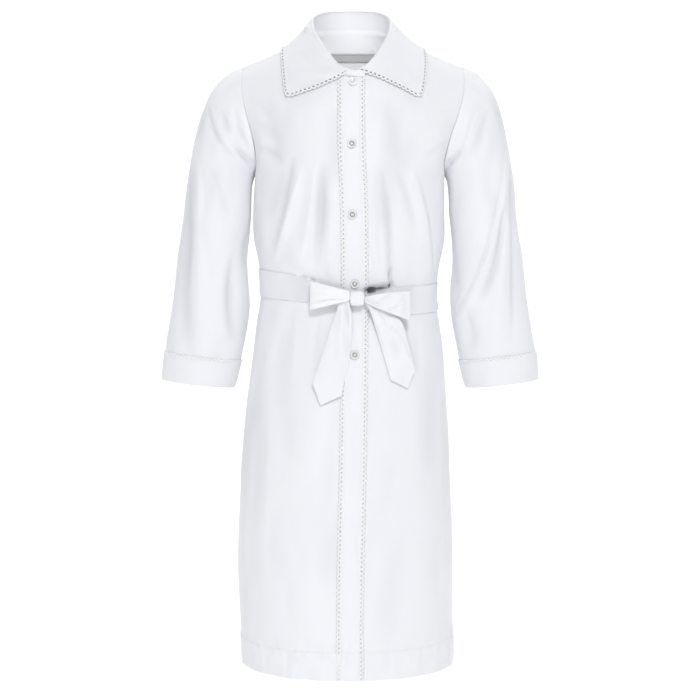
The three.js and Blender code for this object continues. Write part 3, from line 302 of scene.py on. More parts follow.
# Collar's outer edge on the body
COLLAR_EDGE = Table(
    ("share", "across", "over"),
    [
        (0, 0, 0.105), (0.16, 0.22, 0.115), (0.32, 0.43, 0.115), (0.48, 0.575, 0.075),
        (0.6, 0.612, 0.01), (0.7, 0.61, -0.05), (0.8, 0.588, -0.14), (0.92, 0.56, -0.235),
        (1, 0.53, -0.3),
    ],
)
COLLAR_SIDES = {
    "end_angle": (-173, 170),
    "stretch": (0.98, 1.02),
    "sag": (12, -3),
    "bulge": (0, -4),
}
LEAF_HALF_LENGTH = 280
LEAF_DEPTH = 95
POINT_RADIUS = 7
ROLL_DROP = 2.2
COLLAR_TURN = 0.4
COLLAR_LIFT = 2.6
COLLAR_LACE_LIFT = 3.2
STAND_OVERLAP = 2.9
STAND_CLEARANCE = 1.4
STAND_ENDS = (-194.5, 176)
STAND_FOOT = -0.03
STAND_HEAD = 0.95
STAND_LENGTH = 490
STAND_DEPTH = 30


# Body surface. front is true or false. Across runs from -1 at the viewer's left side to 1 at
# the right. Level runs from -1 at the hem through 0 at the chest to 1 at the neckline.

def level_of_height(height):
    return (np.asarray(height, float) - CHEST_HEIGHT) / (CHEST_HEIGHT - HEM_HEIGHT)


def ring_point(front, across, height):
    angle = across * math.pi / 2
    square = TORSO.value("square", height)
    depth = np.where(front, TORSO.value("front", height), TORSO.value("back", height))
    wide = np.abs(np.sin(angle) / TORSO.value("half_width", height)) ** square
    deep = np.abs(np.cos(angle) / depth) ** square
    radius = (wide + deep) ** (-1 / square)
    away = np.where(front, -1, 1)
    return vectors(radius * np.sin(angle), away * radius * np.cos(angle), height)


def neck_point(angle):
    turn = np.radians(angle)
    return vectors(
        NECK_HALF_WIDTH * np.sin(turn),
        NECK_CENTRE_Y + NECK_HALF_DEPTH * np.cos(turn),
        NECK_SEAM.value("height", np.abs(angle)),
    )


def top_line(front, across):
    share = np.abs(across)
    centre_angle = np.where(front, 180, 0)
    angle = mix(centre_angle, SHOULDER_SEAM_ANGLE, np.minimum(share / NECK_SHARE, 1))
    past_neck = clamp((share - NECK_SHARE) / (1 - NECK_SHARE))[..., None]
    shoulder = FRONT_LINES["armhole"].point(1.0) - neck_point(SHOULDER_SEAM_ANGLE)
    point = neck_point(angle) + past_neck * shoulder
    point[..., 0] *= way_of(across)
    return point


def eased_top_line(front, across, up):
    spread = np.minimum(NECK_EASE * np.sqrt(1 - up), 1 - np.abs(across))
    shifts = np.linspace(-1, 1, 9)
    return sum(top_line(front, across + shift * spread) for shift in shifts) / len(shifts)


def departure(table, up, rise, mirror):
    """How far an edge curve departs from the straight blend between its two ends."""
    bend = table.point(up)
    bend += table.point(0.0) * (rise - 1)[..., None]
    bend -= table.point(1.0) * rise[..., None]
    bend[..., 0] *= mirror
    return bend


def upper_point(front, across, up):
    rise = smooth(up)
    mirror = way_of(across)
    to_middle = smooth(np.abs(across) / MID_SHOULDER)
    to_armhole = smooth((np.abs(across) - MID_SHOULDER) / (1 - MID_SHOULDER))
    point = ring_point(front, across, CHEST_HEIGHT) * (1 - rise)[..., None]
    point += eased_top_line(front, across, up) * rise[..., None]
    weights = {
        "centre": 1 - to_middle,
        "middle": to_middle - to_armhole,
        "armhole": to_armhole,
    }
    for line, weight in weights.items():
        in_front = departure(FRONT_LINES[line], up, rise, mirror)
        behind = departure(BACK_LINES[line], up, rise, mirror)
        point += np.where(front[..., None], in_front, behind) * weight[..., None]
    return point


def plain_body(front, across, level):
    front, across, level = np.broadcast_arrays(
        np.asarray(front, bool), np.asarray(across, float), np.asarray(level, float)
    )
    over = level > 1
    front = front ^ over
    level = np.where(over, 2 - level, level)
    past = (np.abs(across) > 1) & (level <= 0)
    front = front ^ past
    across = np.where(past, np.sign(across) * (2 - np.abs(across)), across)
    across = np.clip(across, -1, 1)
    height = CHEST_HEIGHT + np.minimum(level, 0) * (CHEST_HEIGHT - HEM_HEIGHT)
    lower = ring_point(front, across, height)
    upper = upper_point(front, across, clamp(level))
    point = np.where((level > 0)[..., None], upper, lower)
    point[..., 0] += TORSO.value("lean", point[..., 2])
    return point


def body_normal(front, across, level):
    step = 0.004
    front = np.asarray(front, bool)

    def on_seam(value):
        value = np.asarray(value, float)
        return np.where(np.abs(np.abs(value) - 1) < step, np.sign(value), value)

    a = on_seam(across)
    b = on_seam(level)
    sideways = plain_body(front, a + step, b) - plain_body(front, a - step, b)
    upwards = plain_body(front, a, b + step) - plain_body(front, a, b - step)
    normal = unit(np.cross(sideways, upwards))
    return normal * np.where(front, 1, -1)[..., None]


def crease_sum(creases, front, point, ends=0.8):
    """Lift of every crease of one table. A crease bends, widens and may be sharp or soft."""
    lift = np.zeros(point.shape[:-1])
    front = np.asarray(front)
    rows = [(on_front, *row) for on_front, part in creases.items() for row in part]
    for on_front, *line, bow, width, spread, sharp, height in rows:
        along, apart = by_line(point[..., 0], point[..., 2], *line)
        inside = clamp(along)
        apart = apart + bow * 4 * inside * (1 - inside)
        wide = width * mix(1 - spread, 1 + spread, inside)
        here = (along > 0) & (along < 1) & (front == on_front)
        profile = np.exp(-(np.abs(apart) / wide) ** sharp)
        lift += np.where(here, height * np.sin(np.pi * inside) ** ends * profile, 0)
    return lift


def sash_turn(front, across):
    return np.where(front, across, way_of(across) * (2 - np.abs(across)))


def unevenness(point, seed, count, wave, height):
    """Soft random unevenness of the cloth. wave is its length across and down the cloth."""
    random = np.random.default_rng(seed)
    total = np.zeros(point.shape[:-1])
    for _ in range(count):
        across, down = wave * random.uniform(0.6, 1.7, 2) * (1, 3.2)
        turn = random.uniform(0, 2 * math.pi)
        way = np.array([math.cos(turn) / across, math.sin(turn) / across, 1 / down])
        phase = random.uniform(0, 2 * math.pi)
        total += np.sin(2 * math.pi * (point @ way) + phase)
    return total * height / math.sqrt(count)


def body_relief(front, across, level, point):
    """Folds and unevenness. They fade out at the seams, at the armholes and under the sash."""
    turn = sash_turn(front, across)
    apart = np.abs(point[..., 2] - SASH_LINE.value("height", turn))
    from_sash = apart - SASH_WIDTH * 0.55
    side_fade = smooth((1 - np.abs(across)) / 0.12)
    sash_fade = smooth(from_sash / 25)
    top_fade = smooth((0.86 - level) / 0.3)
    on_skirt = smooth((WAIST_HEIGHT - point[..., 2]) / 40) * np.asarray(front)
    lift = crease_sum(LARGE_FOLDS, front, point, ends=1)
    lift = lift * side_fade * sash_fade * mix(1, 0.35, on_skirt)
    fine = crease_sum(BODY_CREASES, front, point)
    fine += unevenness(point, 3, 9, 74.0, 0.8) + unevenness(point, 4, 9, 33.0, 0.22)
    fine_fade = smooth((1 - np.abs(across)) / 0.05) * mix(0.25, 1, smooth(from_sash / 12))
    past_edge = apart - SASH_LINE.value("width", turn) / 2
    pulled = crease_sum(PULLED_CREASES, front, point) * smooth((past_edge + 3) / 4)
    return lift + fine * fine_fade * top_fade + pulled


def on_body(front, across, level, lift=0.0):
    point = plain_body(front, across, level)
    normal = body_normal(front, across, level)
    total = lift + body_relief(np.asarray(front, bool), across, np.asarray(level), point)
    return point + normal * np.asarray(total)[..., None], normal


def front_at(x, height, lift=0.0):
    """Place on the front that is seen at a given x and height."""
    x, height = floats(x, height)
    across = x / CHEST_HALF_WIDTH
    level = level_of_height(height)
    level = np.where(level > 0, (height - CHEST_HEIGHT) / UPPER_FRONT_HEIGHT, level)
    level = np.minimum(level, 0.97)
    step = 0.002
    for _ in range(12):
        here = plain_body(True, across, level)
        right = (plain_body(True, across + step, level) - here) / step
        above = (here - plain_body(True, across, level - step)) / step
        miss_x = x - here[..., 0]
        miss_z = height - here[..., 2]
        area = right[..., 0] * above[..., 2] - right[..., 2] * above[..., 0]
        across = across + (miss_x * above[..., 2] - miss_z * above[..., 0]) / area
        level = level + (right[..., 0] * miss_z - right[..., 2] * miss_x) / area
        level = np.minimum(level, 0.999)
    return on_body(True, across, level, lift)


# Sleeve surface. Column counts the armhole's points from the shoulder seam down the front
# and up the back. Along runs from 0 at the armhole through 1 on the upper arm to 2 at the hem.

def up_armhole(column):
    in_front = column <= FRONT_COLUMNS
    return np.where(in_front, 1 - column / FRONT_COLUMNS, (column - FRONT_COLUMNS) / BACK_COLUMNS)


def armhole_point(side, column):
    column = np.mod(column, SLEEVE_COLUMNS)
    return plain_body(column <= FRONT_COLUMNS, side, up_armhole(column))


def sleeve_angle(column):
    return np.radians(SLEEVE_START_ANGLE + 360 * column / SLEEVE_COLUMNS)


def arm_ring_point(side, column, share):
    angle = sleeve_angle(column)
    outward = np.cos(angle) * ARM.value("half_width", share)
    tilt = math.radians(SLEEVE_TILT)
    return vectors(
        side * (ARM.value("x", share) + outward * math.cos(tilt)),
        ARM.value("y", share) - np.sin(angle) * ARM.value("half_depth", share),
        ARM.value("z", share) + outward * math.sin(tilt),
    )


def cap_pull(side, column):
    angle = sleeve_angle(column)
    top = ((1 + np.cos(angle)) / 2) ** CAP_PULL["blend"]
    pull = mix(np.array(CAP_PULL["underarm"]), np.array(CAP_PULL["shoulder"]), top[..., None])
    pull[..., 1] = -np.sin(angle) * CAP_PULL["forward"]
    pull[..., 0] *= side
    return pull


def plain_sleeve(side, column, along):
    column, along = floats(column, along)
    pull = cap_pull(side, column)
    start = armhole_point(side, column) + unit(pull) * SLEEVE_START
    end = arm_ring_point(side, column, 0.0)
    run = unit(arm_ring_point(side, column, 0.02) - end)
    run = run * (np.linalg.norm(start - end, axis=-1) * CAP_EASE)[..., None]
    t = clamp(along)[..., None]
    cap = (
        start * (1 + 2 * t) * (1 - t) ** 2
        + end * t * t * (3 - 2 * t)
        + pull * t * (1 - t) ** 2
        + run * t * t * (t - 1)
    )
    arm = arm_ring_point(side, column, clamp(along - 1))
    return np.where((along >= 1)[..., None], arm, cap)


def sleeve_fold_sum(folds, column, along):
    angle = np.mod(SLEEVE_START_ANGLE + 360 * column / SLEEVE_COLUMNS, 360)
    lift = np.zeros(np.broadcast(column, along).shape)
    for start_angle, end_angle, top, end, width, height in folds:
        share = (along - top) / (end - top)
        here = (share > 0) & (share < 1)
        line_angle = mix(start_angle, end_angle, share)
        turn = np.mod(angle - line_angle + 180, 360) - 180
        apart = np.radians(turn) * ARM_RADIUS
        swell = height * np.sin(np.pi * clamp(share)) * bell(apart, width)
        lift += np.where(here, swell, 0)
    return lift


def on_sleeve(side, column, along, lift=0.0):
    step = 0.01
    column, along = floats(column, along)
    lengthwise = plain_sleeve(side, column, np.minimum(along + step, 2))
    lengthwise -= plain_sleeve(side, column, np.maximum(along - step, 0))
    roundwise = plain_sleeve(side, np.mod(column + 0.5, SLEEVE_COLUMNS), along)
    roundwise -= plain_sleeve(side, np.mod(column - 0.5, SLEEVE_COLUMNS), along)
    normal = unit(np.cross(roundwise, lengthwise)) * side
    point = plain_sleeve(side, column, along)
    in_front = point[..., 1] < ARM_CENTRE_Y
    relief = sleeve_fold_sum(SLEEVE_FOLDS, column, along) * np.where(in_front, 0.3, 0.8)
    fine = crease_sum(SLEEVE_CREASES[side], in_front, point)
    fine *= smooth(np.abs(point[..., 1] - ARM_CENTRE_Y) / 14)
    fine += unevenness(point, 7 + side, 9, 58.0, 0.8) + unevenness(point, 17 + side, 8, 28.0, 0.2)
    relief += fine * smooth(along / 0.12) * smooth((2.05 - along) / 0.12)
    return point + normal * (relief + lift)[..., None], normal


# Collar stand and leaf. Round runs from -1 at the left front end to 1 at the right one. Fall
# runs from 0 at the roll line to 1 at the outer edge.

def stand_point(angle, share, lift):
    turn = np.minimum(np.abs(angle), 180)
    point = neck_point(angle)
    point[..., 0] += TORSO.value("lean", point[..., 2])
    overlap = STAND_OVERLAP * smooth((-angle - 150) / 22)
    radians = np.radians(angle)
    outward = vectors(np.sin(radians), np.cos(radians), 0)
    reach = lift + overlap - NECK_SEAM.value("lean", turn) * share
    point = point + outward * np.asarray(reach)[..., None]
    point[..., 2] += mix(SEAM_GAP + STAND_CLEARANCE, NECK_SEAM.value("stand", turn), share)
    return point, outward


def on_shoulder(across, over, lift=0.0):
    return on_body(over < 0, across, 1 - np.abs(over), lift)


def nearest_on_shoulder(point, across, over):
    """Place on the body nearest to a point above it, searched from a place close by."""
    step = 0.003
    in_front = over < 0
    back_step = np.where(in_front, -step, step)

    def plain(a, b):
        return plain_body(b < 0, a, 1 - np.abs(b))

    for _ in range(8):
        here = plain(across, over)
        sideways = (plain(across + step, over) - here) / step
        backwards = (plain(across, over + back_step) - here) / back_step[..., None]
        miss = point - here
        ss = dot(sideways, sideways)
        sb = dot(sideways, backwards)
        bb = dot(backwards, backwards)
        area = ss * bb - sb * sb
        across = across + 0.8 * (dot(miss, sideways) * bb - dot(miss, backwards) * sb) / area
        over = over + 0.8 * (dot(miss, backwards) * ss - dot(miss, sideways) * sb) / area
        across = np.clip(across, -0.98, 0.98)
        on_neck = np.abs(across) < NECK_SHARE + 0.05
        kept = np.where(in_front, np.minimum(over, -0.004), np.maximum(over, 0.004))
        over = np.where(on_neck, kept, over)
    return on_shoulder(across, over)


def clear_of_body(point, across, over, lift):
    """Lifts points until they clear the body, rounding off softly."""
    foot, normal = nearest_on_shoulder(point, across, over)
    spare = dot(point - foot, normal) - lift
    raised = (np.sqrt(spare * spare + 4) - spare) / 2
    return point + normal * raised[..., None]


def by_side(name, round_):
    left, right = COLLAR_SIDES[name]
    return np.where(round_ < 0, left, right)


def collar_coordinates(round_, fall):
    share = np.abs(round_)
    side = way_of(round_)
    angle = share * by_side("end_angle", round_)
    turn = np.abs(angle)
    on_front = (180 - turn) / (180 - SHOULDER_SEAM_ANGLE)
    seam_across = NECK_SHARE * np.where(
        turn > SHOULDER_SEAM_ANGLE, on_front, turn / SHOULDER_SEAM_ANGLE
    )
    edge_across = COLLAR_EDGE.value("across", share) * by_side("stretch", round_)
    across = side * mix(seam_across, edge_across, fall)
    over = COLLAR_EDGE.value("over", share) * fall
    return angle, across, over


def rounded_point(round_, fall):
    """Draws the corner of the leaf in to a small curve."""
    from_end = (1 - np.abs(round_)) * LEAF_HALF_LENGTH
    from_edge = (1 - fall) * LEAF_DEPTH
    a = clamp(1 - from_end / POINT_RADIUS)
    b = clamp(1 - from_edge / POINT_RADIUS)
    near = (a > 0) & (b > 0)
    end = np.where(near, POINT_RADIUS * (1 - a * np.sqrt(1 - b * b / 2)), from_end)
    edge = np.where(near, POINT_RADIUS * (1 - b * np.sqrt(1 - a * a / 2)), from_edge)
    return way_of(round_) * (1 - end / LEAF_HALF_LENGTH), 1 - edge / LEAF_DEPTH


def collar_place(round_, fall):
    """Points of the leaf's underside."""
    round_, fall = rounded_point(*floats(round_, fall))
    share = np.abs(round_)
    angle, across, over = collar_coordinates(round_, fall)
    _, edge_across, edge_over = collar_coordinates(round_, 1.0)
    roll, outward = stand_point(angle, 1.0, CLOTH / 2 + SEAM_GAP + CLOTH)
    foot = on_shoulder(edge_across, edge_over, COLLAR_LIFT)[0]
    bulge = by_side("bulge", round_) + NECK_SEAM.value("roll", np.abs(angle))
    turn = mix(roll, foot, COLLAR_TURN) + outward * bulge[..., None]
    turn[..., 2] -= by_side("sag", round_) * share ** 6
    t = fall[..., None]
    point = roll * (1 - t) ** 2 + turn * 2 * t * (1 - t) + foot * t * t
    cleared = clear_of_body(point, across, over, COLLAR_LIFT)
    return mix(point, cleared, smooth((t - 0.06) / 0.08))


# Meshes

def grid_normals(points):
    return unit(np.cross(np.gradient(points, axis=1), np.gradient(points, axis=0)))


def spaced(length, pitch, ends=(0, 0.7, 1.6, 2.8)):
    """Places from 0 to 1 along a length, closer together near both ends."""
    edge = np.array(ends) / length
    clear = (ends[-1] + pitch * 0.6) / length
    middle = np.linspace(clear, 1 - clear, max(int(length / pitch), 2))
    return np.concatenate([edge, middle, 1 - edge[::-1]])


def run_lengths(points, axis):
    """Length along the grid from its first line, averaged over the other way."""
    step = np.linalg.norm(np.diff(points, axis=axis), axis=-1).mean(axis=1 - axis)
    return np.concatenate([[0], np.cumsum(step)])


def make_mesh(name, points, faces, uvs=None, stitch=None, extra=None, fold=None):
    mesh = bpy.data.meshes.new(name)
    mesh.from_pydata((np.asarray(points) / 1000).tolist(), [], [tuple(f) for f in faces])
    if uvs is not None:
        layer = mesh.uv_layers.new(name="cloth")
        corners = np.zeros(len(mesh.loops), dtype=np.int32)
        mesh.loops.foreach_get("vertex_index", corners)
        layer.data.foreach_set("uv", (np.asarray(uvs)[corners] / 1000).ravel())
    if stitch is not None:
        attribute = mesh.attributes.new("stitch", "FLOAT_VECTOR", "POINT")
        attribute.data.foreach_set("vector", np.asarray(stitch, float).ravel())
    # open carries painted shade at the rims of lace holes and on buttons; fold carries relief that
    # the cloth darkens as painted shade
    for label, values in (("open", extra), ("fold", fold)):
        if values is not None:
            attribute = mesh.attributes.new(label, "FLOAT", "POINT")
            attribute.data.foreach_set("value", np.asarray(values, float).ravel())
    mesh.polygons.foreach_set("use_smooth", [True] * len(mesh.polygons))
    mesh.update()
    piece = bpy.data.objects.new("fine_" + name, mesh)
    bpy.context.scene.collection.objects.link(piece)
    return piece


def quads(a, b, c, d):
    return np.stack([a, b, c, d], axis=-1).reshape(-1, 4)


def ring_quads(index):
    """Faces between the rows of a grid whose columns run round in a ring."""
    right = np.roll(index, -1, axis=1)
    return quads(index[:-1], right[:-1], right[1:], index[1:])


def volume_sign(points, faces):
    a, b, c, d = (points[faces[:, k]] for k in range(4))
    total = dot(a, np.cross(b, c)).sum() + dot(a, np.cross(c, d)).sum()
    return 1 if total > 0 else -1


def shell(name, outer, inner, closed=False, stitch=None, seams=(), fold=None):
    """Thin closed wall between two grids of points. Rims are rounded but for those in seams."""
    rows, columns = outer.shape[:2]
    middle = (outer + inner) / 2
    rims = {"top": np.s_[0, :], "bottom": np.s_[-1, :]}
    if not closed:
        rims |= {"start": np.s_[:, 0], "end": np.s_[:, -1]}
    rims = [rim for name_, rim in rims.items() if name_ not in seams]
    outer = outer.copy()
    inner = inner.copy()
    for rim in rims:
        outer[rim] = mix(outer[rim], middle[rim], 0.34)
        inner[rim] = mix(inner[rim], middle[rim], 0.34)
    index = np.arange(rows * columns).reshape(rows, columns)
    back = index + rows * columns
    points = np.concatenate([outer.reshape(-1, 3), inner.reshape(-1, 3)])
    right = np.roll(index, -1, axis=1)
    back_right = np.roll(back, -1, axis=1)
    if not closed:
        index, right, back, back_right = (g[:, :-1] for g in (index, right, back, back_right))

    faces = [
        quads(index[:-1], right[:-1], right[1:], index[1:]),
        quads(back[:-1], back[1:], back_right[1:], back_right[:-1]),
        quads(right[0], index[0], back[0], back_right[0]),
        quads(index[-1], right[-1], back_right[-1], back[-1]),
    ]
    if not closed:
        last = right[:, -1]
        back_last = back_right[:, -1]
        faces += [
            quads(index[:-1, 0], index[1:, 0], back[1:, 0], back[:-1, 0]),
            quads(last[1:], last[:-1], back_last[:-1], back_last[1:]),
        ]
    faces = np.concatenate(faces)
    if volume_sign(points, faces) < 0:
        faces = faces[:, ::-1]
    u = np.broadcast_to(run_lengths(middle, 1)[None, :], (rows, columns))
    v = np.broadcast_to(run_lengths(middle, 0)[:, None], (rows, columns))
    uvs = np.tile(np.stack([u, v], axis=-1).reshape(-1, 2), (2, 1))
    if stitch is None:
        stitch = np.full((rows, columns, 3), 100.0)
    stitches = np.tile(stitch.reshape(-1, 3), (2, 1))
    # The fold attribute, on the outer face only, is darkened by the cloth as painted shade
    folds = np.zeros(2 * rows * columns)
    if fold is not None:
        folds[: rows * columns] = np.broadcast_to(fold, (rows, columns)).ravel()
    return make_mesh(name, points, faces, uvs, stitches, fold=folds)


def stitch_map(points, distance, lengthwise):
    """Distance from a stitched edge, and the length run along it."""
    rows, columns = points.shape[:2]
    run = run_lengths(points, 0 if lengthwise else 1)
    run = run[:, None] if lengthwise else run[None, :]
    zero = np.zeros((rows, columns))
    return np.stack([distance + zero, run + zero, zero], axis=-1)


# Panels

def seam_dip(distance, up=0.0):
    """Dip at a seam. It is shallower towards the top of the armhole, where up is 1."""
    depth = SEAM_DIP * mix(1, 0.35, clamp(up))
    return -depth * bell(np.maximum(distance, 0), SEAM_DIP_WIDTH)


def hem_relief(point):
    """The turned-up hem: thicker below its seam, with a groove and small puckers along it."""
    above = point[..., 2] - HEM_LINE
    turn = HEM_TURN * smooth((0.8 - above) / 1.6)
    groove = -0.25 * bell(above - 1.4, 1.2)
    pucker = unevenness(point, 21, 12, 17.0, 1.1) * bell(above, 16)
    swell = unevenness(point, 22, 8, 40.0, 1.2) * smooth(-above / 14)
    return turn + groove + pucker + swell


def hem_at(x, height):
    """Hem relief at a place on the front, and the plain place."""
    level = level_of_height(np.minimum(height, CHEST_HEIGHT))
    base = plain_body(True, x / CHEST_HALF_WIDTH, level)
    return np.where(height < CHEST_HEIGHT, hem_relief(base), 0), base


def heights_to_hem(top, pitch, ends):
    """Heights down to the hem. They are closer together at the hem's seam and its edge."""
    return np.concatenate([
        np.arange(top, HEM_LINE + 8, -pitch),
        np.arange(HEM_LINE + 6, HEM_LINE - 7, -1.0),
        np.arange(HEM_LINE - 10, HEM_HEIGHT + 4, -5.0),
        HEM_HEIGHT + np.array(ends),
    ])


def panel_levels():
    upper = 1 - spaced(SHOULDER_TO_CHEST, 4.4)
    heights = heights_to_hem(CHEST_HEIGHT, 5.0, (3, 1.4, 0.5, 0))
    return np.concatenate([upper[upper > 0.012], level_of_height(heights)])


def panel(name, front, across, level):
    """Panel from a grid of across and level values."""
    half = np.where(level > 0, CHEST_HALF_WIDTH, CENTRE_TO_SIDE)
    to_seam = np.minimum((1 - np.abs(across)) * half, (1 - level) * SHOULDER_TO_CHEST)
    base = plain_body(front, across, level)
    hem = np.where(level < 0, hem_relief(base), 0)
    outer, normal = on_body(front, across, level, hem + seam_dip(to_seam, level * 1.3))
    inner = on_body(front, across, level, 0)[0] - normal * CLOTH
    # Relief of the cloth, kept in the fold attribute for painted shade in its troughs and hollows
    fold = body_relief(np.full(across.shape, front), across, level, base)
    stitch = stitch_map(outer, np.abs(base[..., 2] - HEM_LINE) + 2, False)
    return shell(name, outer, inner, stitch=stitch, seams=("top", "start", "end"), fold=fold)


def bisect(low, high, is_low):
    for _ in range(30):
        middle = (low + high) / 2
        short = is_low(middle)
        low = np.where(short, middle, low)
        high = np.where(short, high, middle)
    return low, high


def front_panel(side):
    """Front from the side seam to just past the placket's edge."""
    levels = panel_levels()
    offset = -PLACKET_WIDTH / 2 + PLACKET_LAP + side * SEAM_GAP / 2

    def short(across):
        point = plain_body(True, across, levels)
        return point[:, 0] < PLACKET_LINE.value("x", point[:, 2]) + offset

    low, _ = bisect(np.full(levels.shape, -0.4), np.full(levels.shape, 0.4), short)
    across = mix(low[:, None], side, spaced(CENTRE_TO_SIDE, 4.4)[None, :])
    level = np.broadcast_to(levels[:, None], across.shape)
    return panel(sided("front", side), True, across, level)


def back_panel():
    share = 2 * spaced(2 * CENTRE_TO_SIDE, 4.6) - 1
    across, level = np.meshgrid(share, panel_levels())
    return panel("back", False, across, level)


# Sleeves and cuffs

def sleeve_columns(count):
    return np.linspace(0, SLEEVE_COLUMNS, count, endpoint=False)[None, :]


def along_above_hem(distance):
    return 2 - distance / SLEEVE_LENGTH


def sleeve(side):
    cap = np.concatenate([[0, 0.004, 0.01, 0.02], np.linspace(0.035, 1, 52)])
    along = np.concatenate([cap, np.linspace(1, 2, 68)[1:]])[:, None]
    column = sleeve_columns(112)
    distance = np.broadcast_to(along, (along.shape[0], column.shape[1])) * CAP_LENGTH
    outer, normal = on_sleeve(side, column, along, seam_dip(distance, up_armhole(column) * 1.3))
    inner = on_sleeve(side, column, along)[0] - normal * CLOTH
    # Relief of the sleeve, kept in the fold attribute for painted shade in its troughs
    fold = dot(outer - plain_sleeve(side, column, along), normal)
    return shell(sided("sleeve", side), outer, inner, closed=True, seams=("top",), fold=fold)


def cuff(side):
    rise = spaced(CUFF_HEIGHT, 4.0)
    along = mix(along_above_hem(CUFF_HEIGHT), 2, rise)[:, None]
    column = sleeve_columns(128)
    inner = on_sleeve(side, column, along, SEAM_GAP)[0]
    plain, normal = on_sleeve(side, column, along, SEAM_GAP + CLOTH)
    soft = unevenness(plain, 31 + side, 8, 40.0, 0.3)
    fold = -0.9 * bell((1 - rise) * CUFF_HEIGHT, 1.6)
    outer = plain + normal * (soft + fold[:, None])[..., None]
    to_edge = np.minimum(rise, 1 - rise)[:, None] * CUFF_HEIGHT
    stitch = stitch_map(outer, to_edge, False)
    return shell(sided("cuff", side), outer, inner, closed=True, stitch=stitch)


# Collar

def collar_stand():
    angle = mix(*STAND_ENDS, spaced(STAND_LENGTH, 3.6))[None, :]
    share = mix(STAND_FOOT, STAND_HEAD, spaced(STAND_DEPTH, 3.0, ends=(0, 0.8, 2.0))[:, None])
    outer, _ = stand_point(angle, share, CLOTH / 2)
    inner, _ = stand_point(angle, share, -CLOTH / 2)
    to_edge = np.minimum(share - STAND_FOOT, STAND_HEAD - share) * 25
    return shell("collar_stand", outer, inner, stitch=stitch_map(outer, to_edge, False))


# Soft folds of the leaf's two fronts, in the form of the body's creases
COLLAR_CREASES = {
    True: [
        (-90, -29, -27, -61, 0, 11, 0, 2, -3), (-108, -88, -42, -80, 0, 9, 0, 2, -2),
        (-104, -57, -27, -73, 0, 9, 0, 2, 2.8), (-110, -40, -102, -82, 0, 9, 0, 2, 1),
        (-65, 4, -78, -25, 0, 9, 0, 2, -2), (60, -24, 79, -82, 0, 14, 0, 2, -2.6),
        (98, -38, 106, -88, 0, 10, 0, 2, 2), (34, -57, 86, -88, 0, 9, 0, 2, 1),
        (46, -15, 73, 6, 0, 9, 0, 2, -1),
    ],
}


def collar_leaf():
    ends = (0, 0.7, 1.6, 2.8, 4.2)
    rounds = 2 * spaced(2 * LEAF_HALF_LENGTH, 3.8, ends) - 1
    falls = spaced(LEAF_DEPTH, 3.6, ends)
    round_, fall = np.meshgrid(rounds, falls)
    under = collar_place(round_, fall)
    under[..., 2] -= ROLL_DROP * (1 - smooth(fall / 0.2))
    # Rows over the top of the stand, from its inner face to the roll line
    turn = np.radians(np.linspace(180, 20, 8))
    angle = collar_coordinates(rounds, 0.0)[0]
    rows = []
    for bend in turn:
        top, _ = stand_point(angle, 1.0, 0.9 + 1.75 * math.cos(bend))
        top[:, 2] += 1.3 * math.sin(bend) - ROLL_DROP
        rows.append(top)
    under = np.concatenate([np.array(rows), under])
    normal = grid_normals(under)
    thickness = np.full(len(under), CLOTH)
    thickness[:4] = (0.35, 0.8, 1.2, 1.4)
    to_front_end = (1 - np.abs(rounds))[None, :] * LEAF_HALF_LENGTH
    to_edge = (1 - np.concatenate([np.zeros(len(rows)), falls]))[:, None] * LEAF_DEPTH
    edge = np.minimum(to_front_end, to_edge)
    puff = 0.35 * bell(edge - 2.6, 2.0) - 0.3 * bell(edge - 5.5, 1.2)
    soft = unevenness(under, 41, 8, 48.0, 0.45) * smooth(edge / 12)
    soft = soft + crease_sum(COLLAR_CREASES, under[..., 1] < 0, under) * smooth(edge / 9)
    soft *= smooth((1 - np.arange(len(under)) / 4.0) * -1)[:, None]
    outer = under + normal * (thickness[:, None] + puff + soft)[..., None]
    inner = under
    stitch = stitch_map(outer, edge - 3.5, False)
    along_end = run_lengths(outer, 0)[:, None]
    stitch[..., 1] = np.where(to_front_end < to_edge, along_end, stitch[..., 1])
    return shell("collar", outer, inner, stitch=stitch)


# Lace. A strip is made of equal cells, each with a hole and a scallop.

def lace_cell(period, width, valley, hole_at, hole_size):
    """Outline and hole of one cell, as matching rings of points."""
    valley = width * valley
    bottom = [(period * k / 4, 0) for k in range(5)]
    right = [(period, valley * k / 3) for k in (1, 2)]
    top = []
    for turn in np.linspace(0, math.pi, 7):
        bulge = abs(math.sin(turn)) ** 0.75
        top.append((period / 2 * (1 + math.cos(turn)), valley + (width - valley) * bulge))
    left = [(0, valley * k / 3) for k in (2, 1)]
    outline = np.array(bottom + right + top + left)
    centre = np.array([period / 2, width * hole_at])
    way = outline - centre
    turn = np.arctan2(way[:, 1] / width, way[:, 0] / period)
    reach = (np.abs(np.cos(turn)) ** 1.6 + np.abs(np.sin(turn)) ** 1.6) ** (-1 / 1.6)
    radii = np.array([period, width]) * hole_size
    hole = centre + np.stack([np.cos(turn), np.sin(turn)], axis=-1) * reach[:, None] * radii
    return outline, hole


